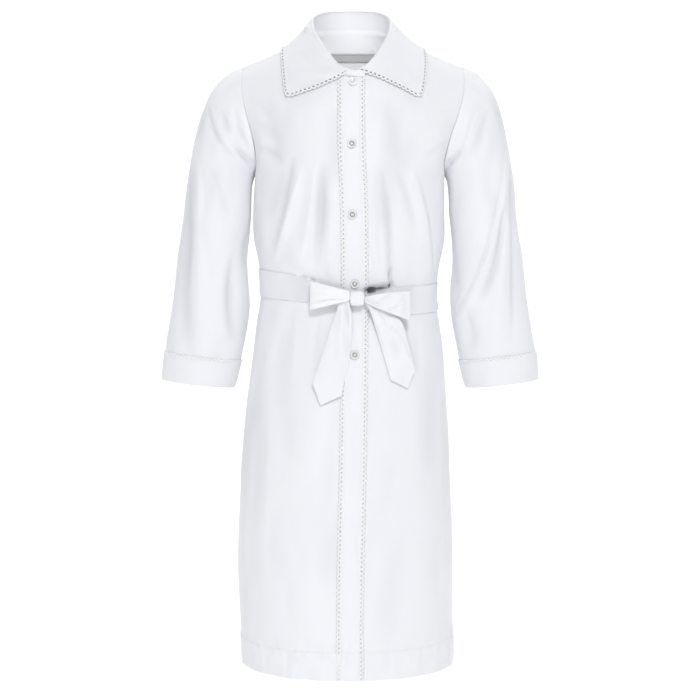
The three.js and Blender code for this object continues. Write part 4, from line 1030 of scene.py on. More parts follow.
def lace_strip(name, place, length, width, cell, shade=1.0):
    """Lace along a seam. place gives points and normals from the way along and the way out. shade
    is how strongly the rims of the holes are painted with shade.
    """
    period, thickness = LACE_PERIOD, LACE_THICKNESS
    count = max(int(round(length / period)), 1)
    period = length / count
    outline, hole = lace_cell(period, width, *cell)
    ridge = mix(hole, outline, 0.45)
    rings = [hole, ridge, outline]
    swell = [0.15, 0.4, 0.12]
    size = len(outline)
    s, t, lift, opening = [], [], [], []
    for number in range(count):
        for k, ring in enumerate(rings):
            s.append(ring[:, 0] + number * period)
            t.append(ring[:, 1])
            lift.append(np.full(size, swell[k]))
            opening.append(np.full(size, shade if k == 0 else 0.0))
    s, t, lift, opening = (np.concatenate(v) for v in (s, t, lift, opening))
    base, normal = place(s, t)
    upper = base + normal * (lift + thickness / 2)[:, None]
    lower = base - normal * (thickness / 2)
    points = np.concatenate([upper, lower])
    half = len(base)
    ring = np.arange(size)
    after = (ring + 1) % size
    faces = []
    for number in range(count):
        start = number * size * 3
        for k in range(2):
            a, b = start + k * size + ring, start + k * size + after
            c, d = b + size, a + size
            faces += [quads(a, b, c, d), quads(a, d, c, b) + half]
        a, b = start + ring, start + after
        faces.append(quads(b, a, a + half, b + half))
        on_side = np.zeros(size, bool)
        on_side[[4, 5, 6]] = number < count - 1
        on_side[[13, 14, 15]] = number > 0
        a, b = start + 2 * size + ring[~on_side], start + 2 * size + after[~on_side]
        faces.append(quads(a, b, b + half, a + half))
    faces = np.concatenate(faces)
    if volume_sign(points, faces) < 0:
        faces = faces[:, ::-1]
    uvs = np.tile(np.stack([s, t], axis=-1), (2, 1))
    piece = make_mesh(name, points, faces, uvs, extra=np.tile(opening, 2))
    merge_close(piece, 0.00002)
    return piece


def merge_close(piece, distance):
    work = bmesh.new()
    work.from_mesh(piece.data)
    bmesh.ops.remove_doubles(work, verts=work.verts, dist=distance)
    bmesh.ops.recalc_face_normals(work, faces=work.faces)
    work.to_mesh(piece.data)
    work.free()


def along_path(s, runs, values):
    """Values of a path's samples, read at lengths along it."""
    flat = values.reshape(len(runs), -1)
    read = np.stack([np.interp(s, runs, column) for column in flat.T], axis=-1)
    return read.reshape(np.shape(s) + values.shape[1:])


def collar_lace():
    falls = np.linspace(0.07, 1, 60)
    rounds = np.linspace(-1, 1, 700)
    round_ = np.concatenate([np.full(59, -1.0), rounds, np.full(59, 1.0)])
    fall = np.concatenate([falls[:-1], np.ones(700), falls[:-1][::-1]])
    edge = collar_place(round_, fall)
    inside = collar_place(round_ * 0.99, fall - 0.03)
    runs = path_lengths(edge)
    even = np.arange(0, runs[-1], 0.5)
    path = along_path(even, runs, edge)
    inward = along_path(even, runs, inside) - path
    spot = np.arange(len(path))
    way = unit(path[np.minimum(spot + 3, len(path) - 1)] - path[np.maximum(spot - 3, 0)])
    out = -unit(inward - way * dot(inward, way)[:, None])
    window = np.hanning(13) / np.hanning(13).sum()
    padded = np.pad(out, ((6, 6), (0, 0)), mode="edge")
    out = unit(np.stack([np.convolve(c, window, "valid") for c in padded.T], axis=-1))
    _, across, over = collar_coordinates(*rounded_point(round_, fall))

    def place(s, t):
        point = along_path(s, even, path) + along_path(s, even, out) * (t - LACE_TUCK)[:, None]
        start_across = along_path(s, runs, across)
        start_over = along_path(s, runs, over)
        start_over = np.where(np.abs(start_over) < 0.004, -0.004, start_over)
        point = clear_of_body(point, start_across, start_over, COLLAR_LACE_LIFT)
        normal = nearest_on_shoulder(point, start_across, start_over)[1]
        return point + normal * 0.2, normal

    return lace_strip("collar_lace", place, even[-1], COLLAR_LACE_WIDTH, WIDE_CELL)


def placket_lace(side):
    height = np.linspace(PLACKET_TOP + 5, HEM_HEIGHT, 260)
    near = PLACKET_LINE.value("x", height) + side * (PLACKET_WIDTH / 2 - LACE_TUCK)
    first, _ = front_at(near, height)
    runs = path_lengths(first)

    def place(s, t):
        at = np.interp(s, runs, height)
        x = PLACKET_LINE.value("x", at) + side * (PLACKET_WIDTH / 2 - LACE_TUCK + t)
        lift = SEAM_GAP + LACE_THICKNESS / 2 + 0.5
        return front_at(x, at, lift + hem_at(x, at)[0])

    name = sided("placket_lace", side)
    return lace_strip(name, place, runs[-1], PLACKET_LACE_WIDTH, FINE_CELL, 0.85)


def cuff_lace(side):
    column = np.linspace(0, SLEEVE_COLUMNS, 200)
    low = along_above_hem(CUFF_HEIGHT - LACE_TUCK)
    ring, _ = on_sleeve(side, column, low)
    runs = path_lengths(ring)

    def place(s, t):
        at = np.mod(np.interp(s, runs, column), SLEEVE_COLUMNS)
        lift = SEAM_GAP + LACE_THICKNESS / 2 + 0.4
        return on_sleeve(side, at, low - t / SLEEVE_LENGTH, lift)

    return lace_strip(sided("cuff_lace", side), place, runs[-1], CUFF_LACE_WIDTH, CUFF_CELL, 0.5)


# Placket, buttonholes and buttons

BUTTON_RADIUS = 7.7
BUTTON_THICKNESS = 3.0
BUTTON_GAP = 1.1                # space under a button, filled by its shank
HOLE_OFFSET = 1.5               # thread holes from the button's middle
BUTTONHOLE = (0.95, 7.4)        # half its width and half its length
BUTTON_PLACES = [(5, -83), (3, -188), (4, -305), (8, -421), (8, -541)]


def placket_top(x):
    """Height of the placket's top edge, which follows the neck seam."""
    angle = 180 - np.degrees(np.arcsin(clamp(np.abs(x) / NECK_HALF_WIDTH)))
    return NECK_SEAM.value("height", angle) - 0.6


def placket():
    height = np.concatenate([
        PLACKET_TOP - np.array([0, 0.6, 1.4, 2.6]),
        heights_to_hem(PLACKET_TOP - 5, 4.5, (2.6, 1.4, 0.6, 0)),
    ])[:, None]
    share = spaced(PLACKET_WIDTH, 3.0, ends=(0, 0.5, 1.2, 2.0, 3.0))[None, :]
    offset = (share - 0.5) * PLACKET_WIDTH
    x = PLACKET_LINE.value("x", height) + offset
    rise = smooth((height - PLACKET_TOP + 30) / 30) * (placket_top(x) - PLACKET_TOP)
    height = height + rise
    hem, base = hem_at(x, height)
    to_edge = PLACKET_WIDTH / 2 - np.abs(offset)
    puff = 0.35 * bell(to_edge - 1.4, 1.1) - 0.35 * bell(to_edge - 3, 0.8)
    soft = unevenness(base, 51, 10, 30.0, 0.35)
    inner, _ = front_at(x, height, SEAM_GAP + hem)
    outer, _ = front_at(x, height, SEAM_GAP + CLOTH + hem + puff + soft)
    return shell("placket", outer, inner, stitch=stitch_map(outer, to_edge - 1, True))


def button_mesh(name, rim, dish):
    """Round button with a raised rim, a groove, a dished middle and two thread holes."""
    r = BUTTON_RADIUS
    t = BUTTON_THICKNESS
    profile = np.array([
        (0, 0), (2.2, 0), (4, 0), (r - 1.6, 0.05), (r - 0.6, 0.4), (r - 0.1, 1.0), (r, 1.5),
        (r - 0.12, 2.1), (r - 0.5, t - 0.2), (r - 1.0, t), (r - 1.5, t - rim * 0.5),
        (r - 2.1, t - rim), (r - 2.9, t - rim * 0.8), (r - 3.4, t - rim * 0.35),
        (r - 3.9, t - rim * 0.3), (3.1, t - dish * 0.7), (2.5, t - dish * 0.9),
        (2.0, t - dish), (1.5, t - dish), (1.0, t - dish), (0.5, t - dish), (0, t - dish),
    ])
    count = 64
    turn = full_turn(count)
    ring = profile[1:-1]
    x = ring[:, :1] * np.cos(turn)
    y = ring[:, :1] * np.sin(turn)
    z = np.broadcast_to(ring[:, 1:], x.shape).copy()
    on_top = np.arange(len(ring))[:, None] > 8
    for side in (-1, 1):
        apart = np.hypot(x - side * HOLE_OFFSET, y)
        z -= np.where(on_top, 1.1 * smooth((1.15 - apart) / 0.6), 0)
    points = np.concatenate([
        np.stack([x, y, z], axis=-1).reshape(-1, 3),
        [(0, 0, profile[0][1]), (0, 0, profile[-1][1])],
    ])
    index = np.arange(len(ring) * count).reshape(len(ring), count)
    after = np.roll(index, -1, axis=1)
    bottom, top = len(points) - 2, len(points) - 1
    faces = ring_quads(index).tolist()
    faces += [(bottom, after[0, k], index[0, k]) for k in range(count)]
    faces += [(index[-1, k], after[-1, k], top) for k in range(count)]
    radius = ring[:, 0]
    # Painted shade on the top faces: a dark ring on the slope into the dished middle and a darker
    # outer edge of the rim, kept in the open attribute
    ring_shade = bell(radius - 3.5, 1.2) + 0.35 * smooth((radius - 6.6) / 0.6)
    groove = np.concatenate([np.repeat(ring_shade * (ring[:, 1] > 1.2), count), [0, 0]])
    return make_mesh(name, points, faces, uvs=points[:, :2], extra=groove)


def tube(points, radius, sides=8, closed=False):
    """Round cord along a path of points, as vertices and faces."""
    points = np.asarray(points, float)
    if closed:
        way = unit(np.roll(points, -1, axis=0) - np.roll(points, 1, axis=0))
    else:
        way = unit(np.gradient(points, axis=0))
    side = unit(np.cross(way, np.where(np.abs(way[:, 2:]) > 0.9, (1.0, 0, 0), (0, 0, 1.0))))
    up = np.cross(side, way)
    turn = full_turn(sides)
    radius = np.broadcast_to(radius, len(points))
    ring = (
        side[:, None] * np.cos(turn)[None, :, None] + up[:, None] * np.sin(turn)[None, :, None]
    ) * radius[:, None, None]
    verts = (points[:, None] + ring).reshape(-1, 3)
    index = np.arange(len(verts)).reshape(len(points), sides)
    if closed:
        return verts, ring_quads(np.concatenate([index, index[:1]])).tolist()
    return verts, [*ring_quads(index).tolist(), index[0, ::-1], index[-1]]


def joined(name, parts):
    verts, faces, start = [], [], 0
    for part_verts, part_faces in parts:
        verts.append(part_verts)
        faces += [tuple(int(i) + start for i in face) for face in part_faces]
        start += len(part_verts)
    piece = make_mesh(name, np.concatenate(verts), faces)
    merge_close(piece, 0.000001)
    return piece


def move_into_place(piece, point, normal, spin):
    """Moves a piece that is built face up onto a surface."""
    local = np.zeros(len(piece.data.vertices) * 3)
    piece.data.vertices.foreach_get("co", local)
    local = local.reshape(-1, 3) * 1000
    up = unit(np.array([0, 0, 1.0]) - normal * normal[2])
    across = np.cross(up, normal)
    first = across * math.cos(spin) + up * math.sin(spin)
    second = up * math.cos(spin) - across * math.sin(spin)
    placed = point + local @ np.array([first, second, normal])
    piece.data.vertices.foreach_set("co", (placed / 1000).ravel())
    piece.data.update()


BUTTON_LOOKS = [
    {"rim": 0.45, "dish": 0.6, "spin": 0.6},
    {"rim": 1.0, "dish": 0.8, "spin": 0.9},
    {"rim": 1.0, "dish": 0.7, "spin": 1.1},
    {"rim": 1.0, "dish": 0.7, "spin": 0.3},
    {"rim": 1.0, "dish": 0.7, "spin": 1.9},
]


def buttons():
    made = []
    for number, ((x, height), look) in enumerate(zip(BUTTON_PLACES, BUTTON_LOOKS), 1):
        point, normal = front_at(float(x), float(height), SEAM_GAP + CLOTH + BUTTON_GAP)
        piece = button_mesh(f"button_{number}", look["rim"], look["dish"])
        move_into_place(piece, point, normal, look["spin"])
        top = BUTTON_THICKNESS - look["dish"]
        parts = []
        for shift in (-0.45, 0, 0.45):
            arc = np.linspace(-1, 1, 9)
            line = (arc * HOLE_OFFSET, shift * (0.4 + arc ** 2), top + 0.5 - 1.2 * arc ** 4)
            parts.append(tube(np.transpose(line), 0.26))
        shank = np.array([(0, 0, -BUTTON_GAP + 0.2), (0, 0, -0.5), (0, 0, 0.1)])
        parts.append(tube(shank, 1.7, sides=16))
        thread = joined(f"button_thread_{number}", parts)
        move_into_place(thread, point, normal, look["spin"])
        made += [piece, thread]
    return made


def buttonholes():
    """Bound slits in the placket, each running down from its button."""
    parts = []
    half_width, half_length = BUTTONHOLE
    for x, height in BUTTON_PLACES[1:]:
        turn = full_turn(40)
        local_x = half_width * np.sign(np.cos(turn)) * np.abs(np.cos(turn)) ** 0.7
        local_z = half_length * np.sign(np.sin(turn)) * np.abs(np.sin(turn)) ** 0.9
        path, _ = front_at(x + 0.4 + local_x, height - 1.0 + local_z, SEAM_GAP + CLOTH + 0.5)
        parts.append(tube(path, 0.55, closed=True))
    return joined("buttonholes", parts)


# Sash and bow

def sash_place(turn, share, lift):
    front = np.abs(turn) <= 1
    across = np.where(front, turn, np.sign(turn) * (2 - np.abs(turn)))
    width = SASH_LINE.value("width", turn)
    height = SASH_LINE.value("height", turn) + width * (0.5 - share)
    over_placket = smooth(1 - (np.abs(turn - 0.03) - 0.16) / 0.1)
    return on_body(front, across, level_of_height(height), mix(0.9, 2.6, over_placket) + lift)


def sash_band():
    turn = np.linspace(-2, 2, 400, endpoint=False)[None, :]
    share = spaced(SASH_WIDTH, 2.4, ends=(0, 0.6, 1.4))[:, None]
    turn, share = np.broadcast_arrays(turn, share)
    inner, normal = sash_place(turn, share, 0.0)
    near_knot = bell(turn - 0.06, 0.42)
    folds = sum(
        height * bell(share - at - slope * (turn - 0.06), width)
        for at, slope, width, height in (
            (0.3, 0.5, 0.07, 1.1), (0.52, -0.25, 0.06, -0.9), (0.72, -0.6, 0.08, 1),
        )
    )
    soft = unevenness(inner, 61, 9, 40.0, 0.4)
    edge = np.minimum(share, 1 - share) * SASH_WIDTH
    relief = (folds * near_knot + soft) * smooth(edge / 5)
    outer = inner + normal * (CLOTH + relief - 0.5 * bell(edge, 1.2))[..., None]
    # Painted shade, given through the fold attribute: a dark band on the left part of the sash by
    # the end of the left loop, and the whole band a little darker
    fold = -4.5 * bell(turn + 0.40, 0.16) - 1.0
    stitch = stitch_map(outer, edge - 1, False)
    return shell("sash_band", outer, inner, closed=True, stitch=stitch, fold=fold)


KNOT = {"x": 12, "y": -122.1, "z": -445.2, "width": 24, "height": 27, "depth": 17}
LOOPS = {
    -1: {
        "end_x": -66, "end_z": -440.4, "start_z": -441.2, "start": 7.5, "end": 24.3, "spread": 1,
    },
    1: {
        "end_x": 102, "end_z": -458.4, "start_z": -448.1, "start": 2.5, "end": 25,
        "spread": 0.72,
    },
}
LOOP_DROOP = 1.3
LOOP_THICK = 15
LOOP_TURN = (0.12, 0.88)        # part of the way round the loop that is drawn


def lines_relief(lines, x, z):
    """Lift of the folds along straight lines. They fade softly at both ends."""
    total = np.zeros(np.broadcast(x, z).shape)
    for *line, width, depth in lines:
        along, across = by_line(x, z, *line)
        fade = np.sin(np.pi * clamp(along * 0.88 + 0.06)) ** 0.7
        total = total + depth * bell(across, width) * fade
    return total


# Folds of the loops and tails: two ends of the line, half width, and depth (+ is towards the eye)
LOOP_LINES = {
    -1: [
        (-72, -450, -6, -446, 2.2, -2.6), (-70, -457, -10, -451, 3.5, 1.8),
        (-64, -427, -14, -437, 3, 1.8), (-38, -431, -6, -438, 2.2, -1.8),
        (-56, -443, -20, -441, 7, 1),
    ],
    1: [
        (24, -449, 48, -457, 2.2, -2.4), (42, -456, 70, -439, 3.2, -2.4),
        (26, -447, 66, -436, 4, 2.2), (46, -470, 86, -457, 2.2, -3.2),
        (42, -463, 88, -452, 4, 2.2), (50, -478, 92, -470, 3.5, 1.6),
        (91, -434, 94, -482, 4.5, -2.4), (26, -452, 64, -474, 1.6, 1.8),
    ],
}


def bow_loop(side):
    loop = LOOPS[side]
    start_x = KNOT["x"] + side * (KNOT["width"] / 2 + SEAM_GAP)
    way = np.linspace(0, 1, 110)[None, :]
    share = spaced(SASH_WIDTH, 1.5, ends=(0, 0.6, 1.2))[:, None]
    angle = mix(LOOP_TURN[0], LOOP_TURN[1], way) * 2 * math.pi
    start = (1 - math.cos(LOOP_TURN[0] * 2 * math.pi)) / 2
    out = clamp(((1 - np.cos(angle)) / 2 - start) / (1 - start))
    x = mix(start_x, loop["end_x"], out)
    half = mix(loop["start"], loop["end"], out ** loop["spread"])
    z = mix(loop["start_z"], loop["end_z"], out ** LOOP_DROOP) + half * (1 - 2 * share)
    # Gathers run out from the knot and fade towards the loop's end
    gather = np.cos((share - 0.5) * 2 * math.pi * 2.1 + side) * 0.9 * (1 - out) ** 1.5
    ply = np.sin(angle)
    inset = smooth(np.minimum(share, 1 - share) * half / 3)
    relief = gather + lines_relief(LOOP_LINES[side], x, z) * inset
    relief = relief + unevenness(vectors(x, 0 * x, z), 81 + side, 7, 26.0, 0.35)
    stand = ply * LOOP_THICK / 2 + relief * np.sign(ply) * np.abs(ply) ** 0.5
    y = KNOT["y"] + 1 + 5 * out ** 2 + stand
    points = vectors(x, y, z)
    normal = grid_normals(points)
    inner = points - normal * CLOTH
    # The front ply's relief goes into the fold attribute for painted shade in its troughs
    return shell(sided("bow_loop", side), points, inner, fold=relief * (ply < 0))


TAIL = ("down", "x", "y", "z")
TAILS = {
    -1: {
        "left": Table(TAIL, [
            (0, -17.5, -122, -446.5), (0.1, -21.5, -121, -462.4), (0.25, -27.9, -120, -481.8),
            (0.45, -37.9, -122, -511.9), (0.65, -49.4, -126, -547), (0.85, -58.5, -131, -574.4),
            (1, -62.6, -134, -586.8),
        ]),
        "right": Table(TAIL, [
            (0, -0.9, -122, -448), (0.071, 0, -121.4, -459), (0.15, 3.2, -120.6, -470),
            (0.25, 3.4, -120, -485.1), (0.45, 2.7, -122, -518.7), (0.65, -2.5, -126, -555.4),
            (0.85, -10.4, -131, -588.7), (1, -13.7, -134, -608.3),
        ]),
        "tip": -0.47,
        "drop": 32,
        "lines": [
            (-6.5, -453, -3, -497, 2.3, -4), (-13.5, -455, -15.5, -516, 4.5, 2.8),
            (-28, -486, -20, -552, 6.5, -1.8), (-3.5, -502, -7, -556, 6, -1.6),
            (-36, -535, -20, -598, 9, 1.3),
        ],
    },
    1: {
        "left": Table(TAIL, [
            (0, 24.7, -122, -454), (0.08, 30.2, -120.5, -460.7), (0.2, 36.1, -117.5, -473.5),
            (0.35, 42, -115.5, -493.3), (0.55, 51.3, -117, -524), (0.8, 61.3, -119.5, -557.6),
            (1, 68.8, -122, -582.8),
        ]),
        "right": Table(TAIL, [
            (0, 25.6, -122, -447.2), (0.08, 43.6, -120, -453.2), (0.2, 65.5, -118, -467.5),
            (0.35, 87.1, -117, -485.3), (0.55, 97, -112, -517.6), (0.8, 106.2, -110.5, -549),
            (1, 110.8, -112, -567.2),
        ]),
        "tip": 0.37,
        "drop": 25,
        "lines": [
            (30, -456, 64, -486, 2.2, 2.4), (60, -482, 90, -521, 2.2, 2.4),
            (86, -514, 107, -564, 2.6, 2.2), (54, -478, 69, -493, 3.5, -3),
            (38, -466, 62, -528, 5, 2), (64, -494, 86, -552, 7, -1.6),
        ],
    },
}
TAIL_CROWN = 4                  # how far the middle of a tail stands out
TAIL_LENGTH = 145


def bow_tail(side):
    tail = TAILS[side]
    down = spaced(TAIL_LENGTH, 1.8, ends=(0, 0.7, 1.4))[:, None]
    share = spaced(SASH_WIDTH, 1.6, ends=(0, 0.6, 1.2))[None, :]
    cross = 2 * share - 1
    points = mix(tail["left"].point(down), tail["right"].point(down), share[..., None])
    tip = np.minimum((1 + cross) / (1 + tail["tip"]), (1 - cross) / (1 - tail["tip"]))
    points[..., 2] -= tip * tail["drop"] * smooth(down * 4 - 3)
    inset = smooth(np.minimum(np.minimum(share, 1 - share) * 16, (1 - down) * 40))
    relief = lines_relief(tail["lines"], points[..., 0], points[..., 2]) * inset
    relief = relief + unevenness(points, 71 + side, 8, 30.0, 0.5) * smooth(down / 0.2)
    curl = 1.4 * np.sin(down * 5.0 + side) * cross * smooth(down / 0.15)
    points[..., 1] -= TAIL_CROWN * (1 - cross ** 2) * 4 * down * (1 - down) + relief - curl
    normal = grid_normals(points)
    if normal[..., 1].mean() > 0:
        normal = -normal
    inner = points - normal * CLOTH
    # The tail's relief goes into the fold attribute for painted shade in its troughs
    return shell(sided("bow_tail", side), points, inner, fold=relief)


def bow_knot():
    """The band wrapped round the middle of the bow, with soft creases running round it."""
    turn = full_turn(72)[None, :]
    width = np.linspace(-1, 1, 33)[:, None]
    crease = 0.3 * np.cos(width * 6.0 + 0.9 * np.sin(turn)) + 0.12 * np.cos(width * 13 + turn)
    end = np.sqrt(np.maximum(1 - np.abs(width) ** 3.6, 0.0))
    waist = mix(0.93, 1.0, np.abs(width) ** 2)
    power = 0.62
    depth = KNOT["depth"] / 2 + 1.0
    height = KNOT["height"] / 2
    y = np.sign(np.sin(turn)) * np.abs(np.sin(turn)) ** power * (depth * waist + crease * 0.55)
    z = np.sign(np.cos(turn)) * np.abs(np.cos(turn)) ** power * (height * waist + crease * 0.25)
    shrink = mix(0.55, 1.0, end)
    x = width * KNOT["width"] / 2
    ring = vectors(x, y * shrink, z * shrink)
    centre = np.array([KNOT["x"], KNOT["y"], KNOT["z"]])
    points = (ring + centre).reshape(-1, 3)
    index = np.arange(len(points)).reshape(ring.shape[:2])
    sides = ring_quads(index)
    faces = [*sides.tolist(), index[0, ::-1], index[-1]]
    if volume_sign(points, sides) < 0:
        faces = [face[::-1] for face in faces]
    uvs = np.stack(np.broadcast_arrays(x, turn * 11), axis=-1).reshape(-1, 2)
    stitch = np.full((len(points), 3), 100.0)
    return make_mesh("bow_knot", points, faces, uvs, stitch)


# Facing and tape inside the back of the neck

FACING_BOTTOM = -16
TAPE_BOTTOM = -29
FACING_GAP = 1.4


def back_level_at(across, height):
    low, high = bisect(
        np.full(np.shape(across), 0.5),
        np.ones(np.shape(across)),
        lambda level: plain_body(False, across, level)[..., 2] < height,
    )
    return (low + high) / 2


def inside_back(name, half_span, top, bottom, rows, meets_stand=False):
    across = mix(-half_span, half_span, spaced(half_span * 420, 3.5))
    share = np.linspace(0, 1, rows)[:, None] ** 1.5
    level = mix(top(across)[None, :], bottom(across)[None, :], share)
    grid = np.broadcast_to(across, level.shape)
    gap = mix(0.3, FACING_GAP, share) if meets_stand else FACING_GAP
    outer, normal = on_body(False, grid, level, -CLOTH - gap)
    inner = outer - normal * FACING
    if meets_stand:
        angle = across / NECK_SHARE * SHOULDER_SEAM_ANGLE
        heights = (0.09, 0.03)
        behind = [stand_point(angle, at, -CLOTH / 2 - 0.1)[0] for at in heights]
        front = [stand_point(angle, at, -CLOTH / 2 - 0.8)[0] for at in heights]
        outer = np.concatenate([behind, outer[2:]])
        inner = np.concatenate([front, inner[2:]])
    edge = np.linspace(30, 0, len(outer))[:, None] + 0 * across
    return shell(name, outer, inner, stitch=stitch_map(inner, edge, False))


def neck_facing():
    return inside_back(
        "neck_facing",
        1 / 3,
        lambda across: np.full(across.shape, 0.9995),
        lambda across: back_level_at(across, FACING_BOTTOM),
        16,
        meets_stand=True,
    )


def neck_tape():
    return inside_back(
        "neck_tape",
        0.2,
        lambda across: back_level_at(across, FACING_BOTTOM - SEAM_GAP - 0.2),
        lambda across: back_level_at(across, TAPE_BOTTOM),
        8,
    )


# Hollows that the sash pulls in, down to its edge. The cloth paints their depths nearly black as
# shade.
PULLED_CREASES = {
    True: [
        (21, -435, 45, -432, 0, 6, 0, 2.4, -13), (24, -434, 80, -427, 0, 6, 0, 2.4, -14),
        (68, -392, 71.5, -452, 0, 1.9, 0, 1.5, -12), (-92, -407, -54, -420, 0, 2.4, 0, 1.5, -13),
    ],
}

# Creases of the front (True) and the back (False). A row gives the line down the cloth by its
# top x and z and its end x and z, then its bow, its half width, how much it widens down the
# line, how sharp it is (1 is a fold line and 2 is soft) and its lift.
BODY_CREASES = {
    True: [
        # Drag folds of the bodice towards the waist
        (-83, -222, -134, -392, 4, 3.8, 0.3, 1.15, 5),
        (-98, -206, -136, -372, 4, 9, 0.35, 1.8, -8), (-57, -216, -88, -418, 4, 10, 0.3, 1.8, 6),
        (-49, -216, -60, -396, 5, 9, 0.2, 1.8, -7.5), (-32, -300, -36, -420, 0, 7, 0.2, 1.8, 3),
        (53, -225, 67, -432, 6, 3.4, 0.2, 1.3, -4.6), (52, -310, 60, -434, 2, 5, 0.1, 1.6, 4.2),
        (104, -226, 139, -417, 9, 4, 0.2, 1.3, 3.2), (111, -228, 143, -418, 8, 3.2, 0.2, 1.3, -3),
        (80, -228, 118, -350, 4, 8, 0.3, 1.8, -4), (28, -230, 34, -420, 2, 9, 0.2, 1.8, 2.6),
        # Short ripples by the armholes
        (-176, -98, -142, -108, 0, 3.4, 0.2, 1.6, 1.4),
        (-175, -110, -140, -124, 0, 3.8, 0.2, 1.6, -1.8),
        (-173, -126, -140, -143, 0, 4.2, 0.2, 1.6, 1.6),
        (-171, -144, -132, -166, 1, 5, 0.2, 1.7, -2.2),
        (-168, -164, -126, -190, 1, 5, 0.2, 1.7, 2),
        (-164, -186, -112, -216, 2, 6, 0.2, 1.7, -3.6), (178, -122, 146, -134, 0, 5, 0.2, 1.7, -2),
        (170, -146, 136, -168, 0, 5, 0.2, 1.7, 2), (164, -180, 128, -208, 0, 6, 0.2, 1.7, -2.4),
        # Broad hollows of the chest
        (-142, -84, -126, -226, 0, 15, 0.2, 2, -4), (60, -96, 96, -262, 0, 24, 0.1, 2, -5),
        (-24, -120, -30, -262, 0, 18, 0.1, 2, -3),
        # Gathers above and below the sash
        (-32, -384, -36, -431, 0, 4, 0, 1.5, 2), (-104, -392, -100, -424, 0, 4, 0, 1.5, -1.8),
        (-124, -398, -122, -424, 0, 4, 0, 1.5, 1.5), (104, -398, 101, -432, 0, 4, 0, 1.5, -1.5),
        (128, -402, 126, -432, 0, 4, 0, 1.5, 1.4), (-52, -474, -58, -556, 0, 6, 0.3, 1.7, -2.2),
        (-92, -474, -97, -590, 0, 7, 0.4, 1.7, 2.2), (112, -486, 118, -590, 0, 7, 0.4, 1.7, -2.2),
        # Soft folds of the skirt
        (-136, -520, -146, -1000, 2, 7, 0.2, 1.8, 1.3),
        (-116, -490, -104, -800, 3, 16, 0.2, 2, -1), (128, -530, 140, -860, 0, 14, 0.2, 2, -0.8),
        (108, -560, 116, -940, 2, 16, 0.2, 2, 1.8), (156, -560, 166, -1010, 0, 7, 0.2, 1.7, 2.2),
        (-156, -490, -166, -985, 0, 9, 0.2, 2, -1.8), (-34, -640, -40, -930, 0, 20, 0.2, 2, -2.4),
        (62, -760, 70, -1036, 0, 22, 0.2, 2, -1.6),
        # Short folds of the hem
        (-151, -1026, -150, -1100, 0, 3, 0.2, 1.6, 2.2),
        (-117, -1020, -115, -1100, 0, 5.5, 0.1, 1.7, 2.4),
        (-106, -1034, -105, -1100, 0, 1.8, 0.1, 1.5, -2.2),
        (-72, -1034, -70, -1078, 0, 4, 0.1, 1.7, 1.2),
        (64, -1034, 66, -1084, 0, 4, 0.1, 1.7, -1.2), (98, -1028, 101, -1100, 0, 3, 0.1, 1.6, 1.8),
        (121, -1024, 122, -1100, 0, 4.5, 0.1, 1.7, -2),
        (150, -1026, 152, -1100, 0, 3, 0.1, 1.6, 2),
    ],
    False: [
        # The back, like the front
        (-130, -1026, -132, -1100, 0, 3.5, 0.1, 1.6, 1.8),
        (-58, -1028, -60, -1100, 0, 4.5, 0.1, 1.7, -1.8),
        (36, -1026, 38, -1100, 0, 3.5, 0.1, 1.6, 1.8),
        (118, -1028, 120, -1100, 0, 4.5, 0.1, 1.7, 1.8),
        (-112, -200, -84, -400, -4, 7, 0.3, 1.4, 3.2),
        (-74, -214, -58, -412, -3, 10, 0.3, 1.8, -3.6), (118, -196, 92, -404, 4, 7, 0.3, 1.4, 3),
        (72, -226, 60, -416, 3, 10, 0.3, 1.8, -3.4), (8, -260, 4, -418, 0, 9, 0.3, 1.7, 2.4),
        (-24, -380, -26, -432, 0, 4, 0, 1.5, -2), (28, -384, 26, -432, 0, 4, 0, 1.5, 1.8),
        (-46, -486, -58, -700, 3, 13, 0.3, 1.8, 3), (40, -486, 48, -660, -3, 12, 0.3, 1.8, -3),
        (112, -480, 128, -740, 0, 12, 0.3, 1.8, -2.8),
        (-122, -480, -140, -760, 0, 12, 0.3, 1.8, -2.8), (0, -800, 6, -1040, 0, 26, 0.2, 2, 2.2),
    ],
}

